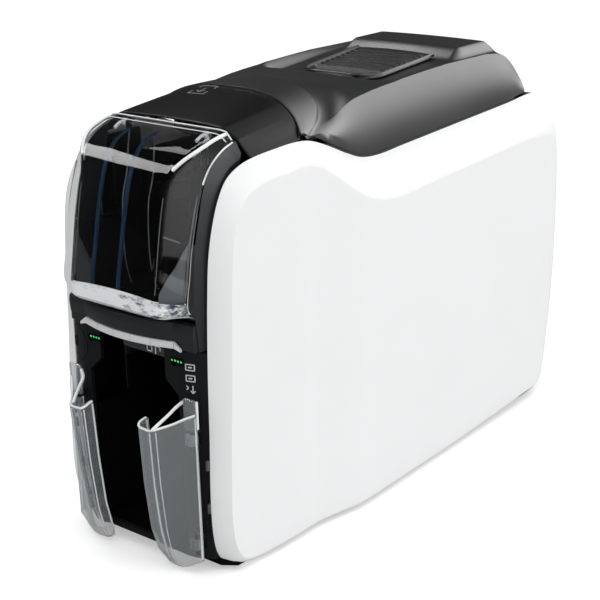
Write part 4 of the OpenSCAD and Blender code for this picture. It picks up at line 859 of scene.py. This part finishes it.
# ribbed latch pad, rounded at its front, with a raised lip
pad = {
    "half": 33, "front": 199.5, "back": 273, "low": 265.6, "high": 271.2, "deep": 2.6, "round": 16,
    "ribStart": 216, "ribStep": 6.0, "ribs": 9, "ribRows": [0.01, 0.33, 0.66, 0.9, 0.99],
}
ribY = pad["ribStart"] + pad["ribStep"] * np.add.outer(np.arange(pad["ribs"]), pad["ribRows"]).ravel()
smoothY = np.linspace(pad["front"], pad["ribStart"] - 0.4, 34)
y = np.concatenate([smoothY, ribY, [pad["back"] - 0.3, pad["back"]]])[:, None]
u, back = np.linspace(-1, 1, 73), y - pad["front"]
intoRound = np.maximum(0, pad["round"] - back) / pad["round"]
half = pad["half"] - pad["round"] * (1 - np.sqrt(np.maximum(0, 1 - intoRound**2))) - 2.0 * np.maximum(0, 1 - back / 60)
x = u * half
toEdge = np.minimum((1 - np.abs(u)) * half, back + 0.3)
lip = 1.5 * (1 - ease(toEdge, 1.0, 4.0)) - 0.7 * (1 - ease(toEdge, 0, 0.7))
phase = (y - pad["ribStart"]) / pad["ribStep"]
zone = (1 - ease(np.abs(u), 0.80, 0.88)) * ((phase >= 0) & (phase < pad["ribs"]))
ribs = 1.5 * zone * (1 - np.minimum(1, phase % 1 / 0.9))
t = back / (pad["back"] - pad["front"])
dish = 1.5 * (1 - u**2) * np.sin(np.pi * np.clip(t, 0, 1)) ** 0.7 + 1.2 * (x / pad["half"]) ** 2
z = mix(pad["low"], pad["high"], t) - dish + lip + ribs
obj = sheet("latchPad", np.stack(np.broadcast_arrays(x, y, z), -1), lambda c: (0, 0, 1), pad["deep"], angle=28)
place(obj, "padBlack", "cover_latch", ["cover_latch_pad"])
feet = [roundedRing(x - 2, x + 2, 204, 210, 0.5) for x in (-20, 20)]
posts = [plateOf("post", foot, 254, 264.6, axis="z") for foot in feet]
place(joinPieces("latchPosts", posts), "panelBlack", "cover_latch")
print("cover made")

# panel over the hopper: its front profile out from the middle, in x and z
topPanel = {
    "front": 42.4, "wall": 1.2,
    "profile": [(0, 264.8), (14, 264.6), (30, 264.1), (39.4, 263.5), (40.6, 263.2), (46, 260.6), (51.4, 257.8),
                (52.8, 256.2), (55.6, 253.2), (58.5, 250.4), (62.0, 247.4)],
    "icon": [  # a bracket with an arrow in it, in x and y
        [(-9, 92), (-9, 96), (-15, 96), (-21, 96), (-21, 92)], [(-21, 86), (-21, 81), (-15, 81), (-9, 81), (-9, 86)],
        [(-15, 92), (-15, 84)], [(-18, 87), (-15, 84), (-12, 87)],
    ],
}
profileX, profileZ = np.transpose(topPanel["profile"])
halfX = np.interp(np.linspace(0, len(profileX) - 1, (len(profileX) - 1) * 5 + 1), np.arange(len(profileX)), profileX)
x = np.concatenate([-halfX[:0:-1], halfX])


def topPanelZ(x, y):
    # straight rise from the front profile to just under the visor's edge
    edgeY, edgeZ = visorFront(x)
    low = np.interp(np.abs(x), profileX, profileZ)
    share = np.clip((y - topPanel["front"]) / (edgeY - topPanel["front"]), 0, 1.1)
    return low + (edgeZ - mix(0.9, 3.2, ease(np.abs(x), 53, 60)) - low) * share**0.92


edgeY = visorFront(x)[0]
y = mix(topPanel["front"], edgeY + 3.5, np.concatenate([np.linspace(0, 0.7, 26), np.linspace(0.72, 1, 18)])[:, None])
tuck = ease(y, edgeY - 1.6, edgeY + 2.6)
skin = np.stack([x * (1 - 0.05 * tuck), y, topPanelZ(x, y) - 2.6 * tuck], -1)
obj = sheet("hopperTopPanel", skin, lambda c: (0, 0, 1), topPanel["wall"], angle=18, edgeRound=0.3)
place(obj, "panelBlack", replaces=["hopper_top_panel"])


def inkStroke(points, width, onSurface, raised, sunk, steps):
    # a flat ribbon of ink along a path of corners; onSurface gives the place of a point at a height above the surface
    corners = np.array(points, float)
    path = np.concatenate([np.linspace(a, b, steps)[:-1] for a, b in zip(corners, corners[1:])] + [corners[-1:]])
    along = np.gradient(path, axis=0)
    along /= np.linalg.norm(along, axis=1)[:, None]
    side = np.column_stack([-along[:, 1], along[:, 0]]) * width / 2
    section = ((path + side, raised), (path - side, raised), (path - side, sunk), (path + side, sunk))
    return solidLoft("ink", np.stack([onSurface(*edge.T, level) for edge, level in section], 1))


def onTop(x, y, level):
    return np.stack([x, y, topPanelZ(x, y) + level], -1)


strokes = [inkStroke(path, 1.0, onTop, 0.10, -0.02, 6) for path in topPanel["icon"]]
place(joinPieces("topIcon", strokes), "iconGrey")
print("hopper panel made")

# bezel round the door, with its chin; each cheek slants back from the door's edge to the side panel
bezel = {
    "in": 50.4, "out": 54.8, "slant": 8.6, "barHalf": 36,
    "front": [(3.4, 142.4), (2.8, 150), (2, 158), (1.4, 166), (1.2, 176), (2, 190), (4.8, 207), (8.8, 222), (12, 233),
              (16.2, 241.6), (21, 247.4), (27, 251.4), (34, 254.4), (41.4, 257.4)],
    "rear": [(14, 142.4), (18, 150), (22, 158), (25, 166), (28, 176), (30, 190), (32, 207), (34, 222), (35.6, 229),
             (37.2, 235), (38.4, 239), (39.4, 242), (40.4, 246), (41.4, 250)],
}
pair = curveThrough(np.hstack([bezel["front"], bezel["rear"]]), 60)
outer, within = pair[:, :2], pair[:, 2:]
reach = within - outer
length = np.linalg.norm(reach, axis=1)[:, None]
near, fold = (outer + reach * np.minimum(0.85, d / length) for d in (0.3, bezel["slant"]))
low, high = bezel["in"], bezel["out"]
section = [
    (low, near), (low + 0.5, outer), (high - 0.3, fold), (high, fold + reach * 0.02), (high, within), (low, within)]
pieces = []
for side in (-1, 1):
    rings = np.stack([np.insert(edge, 0, side * x, 1) for x, edge in section], 1)
    pieces.append(solidLoft("cheek", rings, 25))


def sweepAcross(name, x, section):
    # a solid carried across, whose section's y and z may change with x
    return solidLoft(name, np.stack([np.stack(np.broadcast_arrays(x, y, z), -1) for y, z in section], 1), 30)


def barY(x):
    # a parabola between the light bar's ends
    return -6 * (1 - (x / bezel["barHalf"]) ** 2) - 1.6


x = np.linspace(-bezel["in"], bezel["in"], 81)
bow = np.where(np.abs(x) < bezel["barHalf"], barY(x), -1.6 + 1.2 * (np.abs(x) - bezel["barHalf"]) / 14.4)
pieces.append(sweepAcross("chin", x, [
    (0.4, 142.5), (np.minimum(bow + 2.2, 0.4), 147.3), (bow + 0.7, 147.5), (bow + 0.4, 148.4), (bow - 0.2, 154),
    (bow + 0.2, 157.6), (bow + 1.0, 158.6), (4, 158.6), (4, 142.5)]))
place(joinPieces("bezel", pieces), "bezelCharcoal", replaces=["front_bezel"])

# light bar under the chin, in five lenses with turned-down ends
pieces = []
spans = np.linspace(-bezel["barHalf"], bezel["barHalf"], 6)
for a, b in zip(spans, spans[1:]):
    x = np.linspace(a + 0.14, b - 0.14, 9)
    y = barY(x)
    rear = np.minimum(y + 3.4, -0.1)
    section = [(y, 142.9), (y - 0.4, 143.6), (y - 0.4, 146.2), (y + 0.2, 147.0), (rear, 147.1), (rear, 142.8)]
    pieces.append(sweepAcross("lens", x, section))
low, high = np.linspace(142.9, 141.6, 6), np.linspace(146.8, 143.0, 6)
for side in (-1, 1):
    section = [(-1.6, low), (-1.6, high), (-0.2, high), (-0.2, low)]
    pieces.append(sweepAcross("end", side * np.linspace(36.2, 41, 6), section))
# the lenses' finish is mostly painted whitish sheen, in place of highlights
place(joinPieces("lightBar", pieces), "barClear", replaces=["light_bar"])
print("bezel and light bar made")

# black sheets inside the card outlet and beside the hopper, painted shade that darkens those gaps: distance from the
# middle, then the spans in y and in z
shadeSheets = {"outlet": (52.5, 7.5, 62, 9, 141), "hopper": (60.2, 42, 79, 190, 245.4)}
walls = []
for at, y0, y1, z0, z1 in shadeSheets.values():
    for side in (-1, 1):
        middle = side * (at + 0.4)
        walls.append(plateOf("shadeSheet", roundedRing(y0, y1, z0, z1, 2), middle - 0.4, middle + 0.4, axis="x"))
place(joinPieces("gapShadeSheets", walls), "chassisBlack")

# tab over the outlet
tabLow, tabHigh = (np.array(corner) / mm - (0, frontEdgeY / mm, 0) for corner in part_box("feed_slot_tab"))
tabPlate = plateOf("feedTab", roundedRing(tabLow[0], tabHigh[0], 134.2, tabHigh[2], 0.8), tabLow[1], tabHigh[1])
place(tabPlate, "tabGrey", replaces=["feed_slot_tab"])
print("outlet liners made, tab", tabLow.round(1), tabHigh.round(1))

# indicator lights: a row of small green dashes each side of the slot
status = {"places": ((-30.6, 134.6), (36.2, 134.8)), "dashes": 4, "step": 2.3, "windowFront": -0.12, "dashFront": -0.25}
dashes, windows = [], []
for x, z in status["places"]:
    outline = roundedRing(x - 5, x + 5, z - 2.6, z + 2.4, 0.8, 4)
    windows.append(plateOf("window", outline, status["windowFront"], 0.3, chamfer=0.1))
    for k in range(status["dashes"]):
        at = x + (k - (status["dashes"] - 1) / 2) * status["step"]
        outline = roundedRing(at - 0.75, at + 0.75, z - 0.55, z + 0.55, 0.3, 3)
        dashes.append(plateOf("dash", outline, status["dashFront"], 0.3, chamfer=0.1))
place(joinPieces("statusDashes", dashes), "ledLens", replaces=["status_leds"])
place(joinPieces("statusWindows", windows), "chassisBlack")
print("indicator lights made")


def onFront(x, z, level):
    # the lower front is flat, then curves back by a power law
    return np.stack([x, 6 * np.maximum(0, (np.abs(x) - 38) / 17) ** 1.6 - level, z], -1)


# pictograms on the lower front: strokes in x and z with their widths, for two cards, an arrow and a small arrow head
frontIcon = []
for x, z in ((45.0, 132.4), (45.0, 125.6)):
    corners = [(x - 2.6, z - 1.8), (x + 2.6, z - 1.8), (x + 2.6, z + 1.8), (x - 2.6, z + 1.8), (x - 2.6, z - 1.8)]
    frontIcon += [(corners, 0.6), ([(x - 1.1, z), (x + 1.1, z)], 0.8)]
frontIcon += [([(46.2, 121.2), (46.2, 116.6)], 0.6), ([(44.8, 118.0), (46.2, 116.4), (47.6, 118.0)], 0.6),
              ([(42.4, 120.8), (43.6, 119.6), (42.4, 118.4)], 0.6)]
strokes = [inkStroke(path, width, onFront, 0.06, -0.05, 5) for path, width in frontIcon]
place(joinPieces("frontIcons", strokes), "iconWhite")

# bars on the tab, each a span in x and in z
tabIcon = [(11.5, 16, 135.4, 136.1), (11.5, 16, 139.0, 139.7), (11.5, 12.2, 135.4, 139.7), (15.3, 16, 135.4, 139.7),
           (18.2, 19, 134.8, 140.2), (18.2, 22.6, 139.4, 140.2), (21.8, 22.6, 137.2, 140.2)]
front = tabLow[1]
strokes = [plateOf("ink", roundedRing(*bar, 0.15, 3), front - 0.05, front + 0.1, chamfer=0.03) for bar in tabIcon]
place(joinPieces("tabIcon", strokes), "iconWhite")
print("pictograms made")

# floor: it glows white to the camera and through clear pieces, and darkens far away and in reflections
floorMesh = bpy.data.meshes.new("floor")
floorMesh.from_pydata([(-12, -12, 0), (12, -12, 0), (12, 12, 0), (-12, 12, 0)], [], [(0, 1, 2, 3)])
floor = bpy.data.objects.new("floor", floorMesh)
bpy.context.scene.collection.objects.link(floor)
f = newFinish("floorPaper")
paths = f.tree.nodes.new("ShaderNodeLightPath")
bounced = Value(f, paths.outputs["Glossy Depth"]) > 0.5
seen = Value(f, paths.outputs["Is Camera Ray"]) + Value(f, paths.outputs["Is Transmission Ray"]) * (1 - bounced)
spot = f.make("ShaderNodeTexCoord", out="Object")
away = f.make("ShaderNodeVectorMath", {"operation": "LENGTH"}, [spot], out="Value")
fade = f.rise(away, 0.9, 2.6)
tone = f.blend(fade + Value(f, paths.outputs["Is Glossy Ray"]) * 0.85, (0.80, 0.80, 0.80), (0.10, 0.10, 0.10))
diffuse = f.make("ShaderNodeBsdfDiffuse", {}, {"Color": tone})
glow = f.make("ShaderNodeEmission", {}, {"Color": (1, 1, 1, 1), "Strength": seen * (fade * 0.62 + 0.40)})
floorMesh.materials.append(f.show(f.make("ShaderNodeAddShader", {}, [diffuse, glow])))

# the world is an even soft light; in reflections it is a room, bright to the right, dark to the left and overhead
room = {"soft": 0.74, "dark": 0.05, "right": 2.95, "behind": 1.5, "zenith": 0.25}
world = bpy.data.worlds.new("studio")
bpy.context.scene.world = world
sky = Finish(world, "ShaderNodeOutputWorld")
paths = sky.tree.nodes.new("ShaderNodeLightPath")
rays = ("Camera", "Glossy", "Transmission")
cameraRay, glossyRay, clearRay = (Value(sky, paths.outputs["Is %s Ray" % ray]) for ray in rays)
direction = sky.make("ShaderNodeTexCoord", out="Generated")
axes = sky.tree.nodes.new("ShaderNodeSeparateXYZ")
sky.tree.links.new(direction.socket, axes.inputs[0])
dirX, dirY, dirZ = (Value(sky, axes.outputs[k]) for k in range(3))
toRight = sky.rise(dirX, -0.30, 0.62)
toTop = sky.rise(dirZ, 0.30, 0.85, 1.0, room["zenith"])
toBack = sky.rise(dirY, 0.35, 0.8)
notLeft = sky.rise(dirX, -0.42, 0.10)
mirrorSky = toRight * toTop * (room["right"] - room["dark"]) + toBack * notLeft * room["behind"] + room["dark"]
straight = 1 - (Value(sky, paths.outputs["Glossy Depth"]) > 0.5)
direct = (cameraRay + clearRay * straight) * (1 - room["soft"])
strength = glossyRay * (mirrorSky - room["soft"]) + direct + room["soft"]
sky.show(sky.make("ShaderNodeBackground", {}, {"Color": (1, 1, 1, 1), "Strength": strength}))

# lamps: place, aim, size, power, and what they light: all but reflections, or reflections only
lamps = {
    "keyTop": ((0.15, -0.35, 1.35), (0, 0, 0.1), (1.1, 0.9), 5.0, "forms"),
    "sideFill": ((1.5, 0.25, 0.55), (0, 0.02, 0.14), (1.2, 0.8), 7.4, "forms"),
    "doorStrip": ((-0.70, -0.554, 0.85), (0.0, -0.174, 0.247), (0.50, 0.24), 7.0, "gloss"),
    "leftFill": ((-1.5, 0.35, 0.6), (0, 0.02, 0.14), (1.2, 0.8), 2.6, "forms"),
    "topStrip": ((-0.60, 0.14, 1.10), (0, 0.05, 0.27), (0.5, 0.22), 2.2, "gloss"),
}
for name, (spot, aim, size, power, lights) in lamps.items():
    data = bpy.data.lights.new(name, "AREA")
    data.shape = "RECTANGLE"
    data.size, data.size_y = size
    data.energy = power
    obj = bpy.data.objects.new(name, data)
    obj.location = spot
    obj.rotation_euler = (Vector(aim) - Vector(spot)).to_track_quat("-Z", "Y").to_euler()
    obj.visible_glossy, obj.visible_diffuse = lights == "gloss", lights == "forms"
    obj.visible_transmission = False
    bpy.context.scene.collection.objects.link(obj)
bpy.context.scene.view_settings.view_transform = "Standard"
print("studio made")
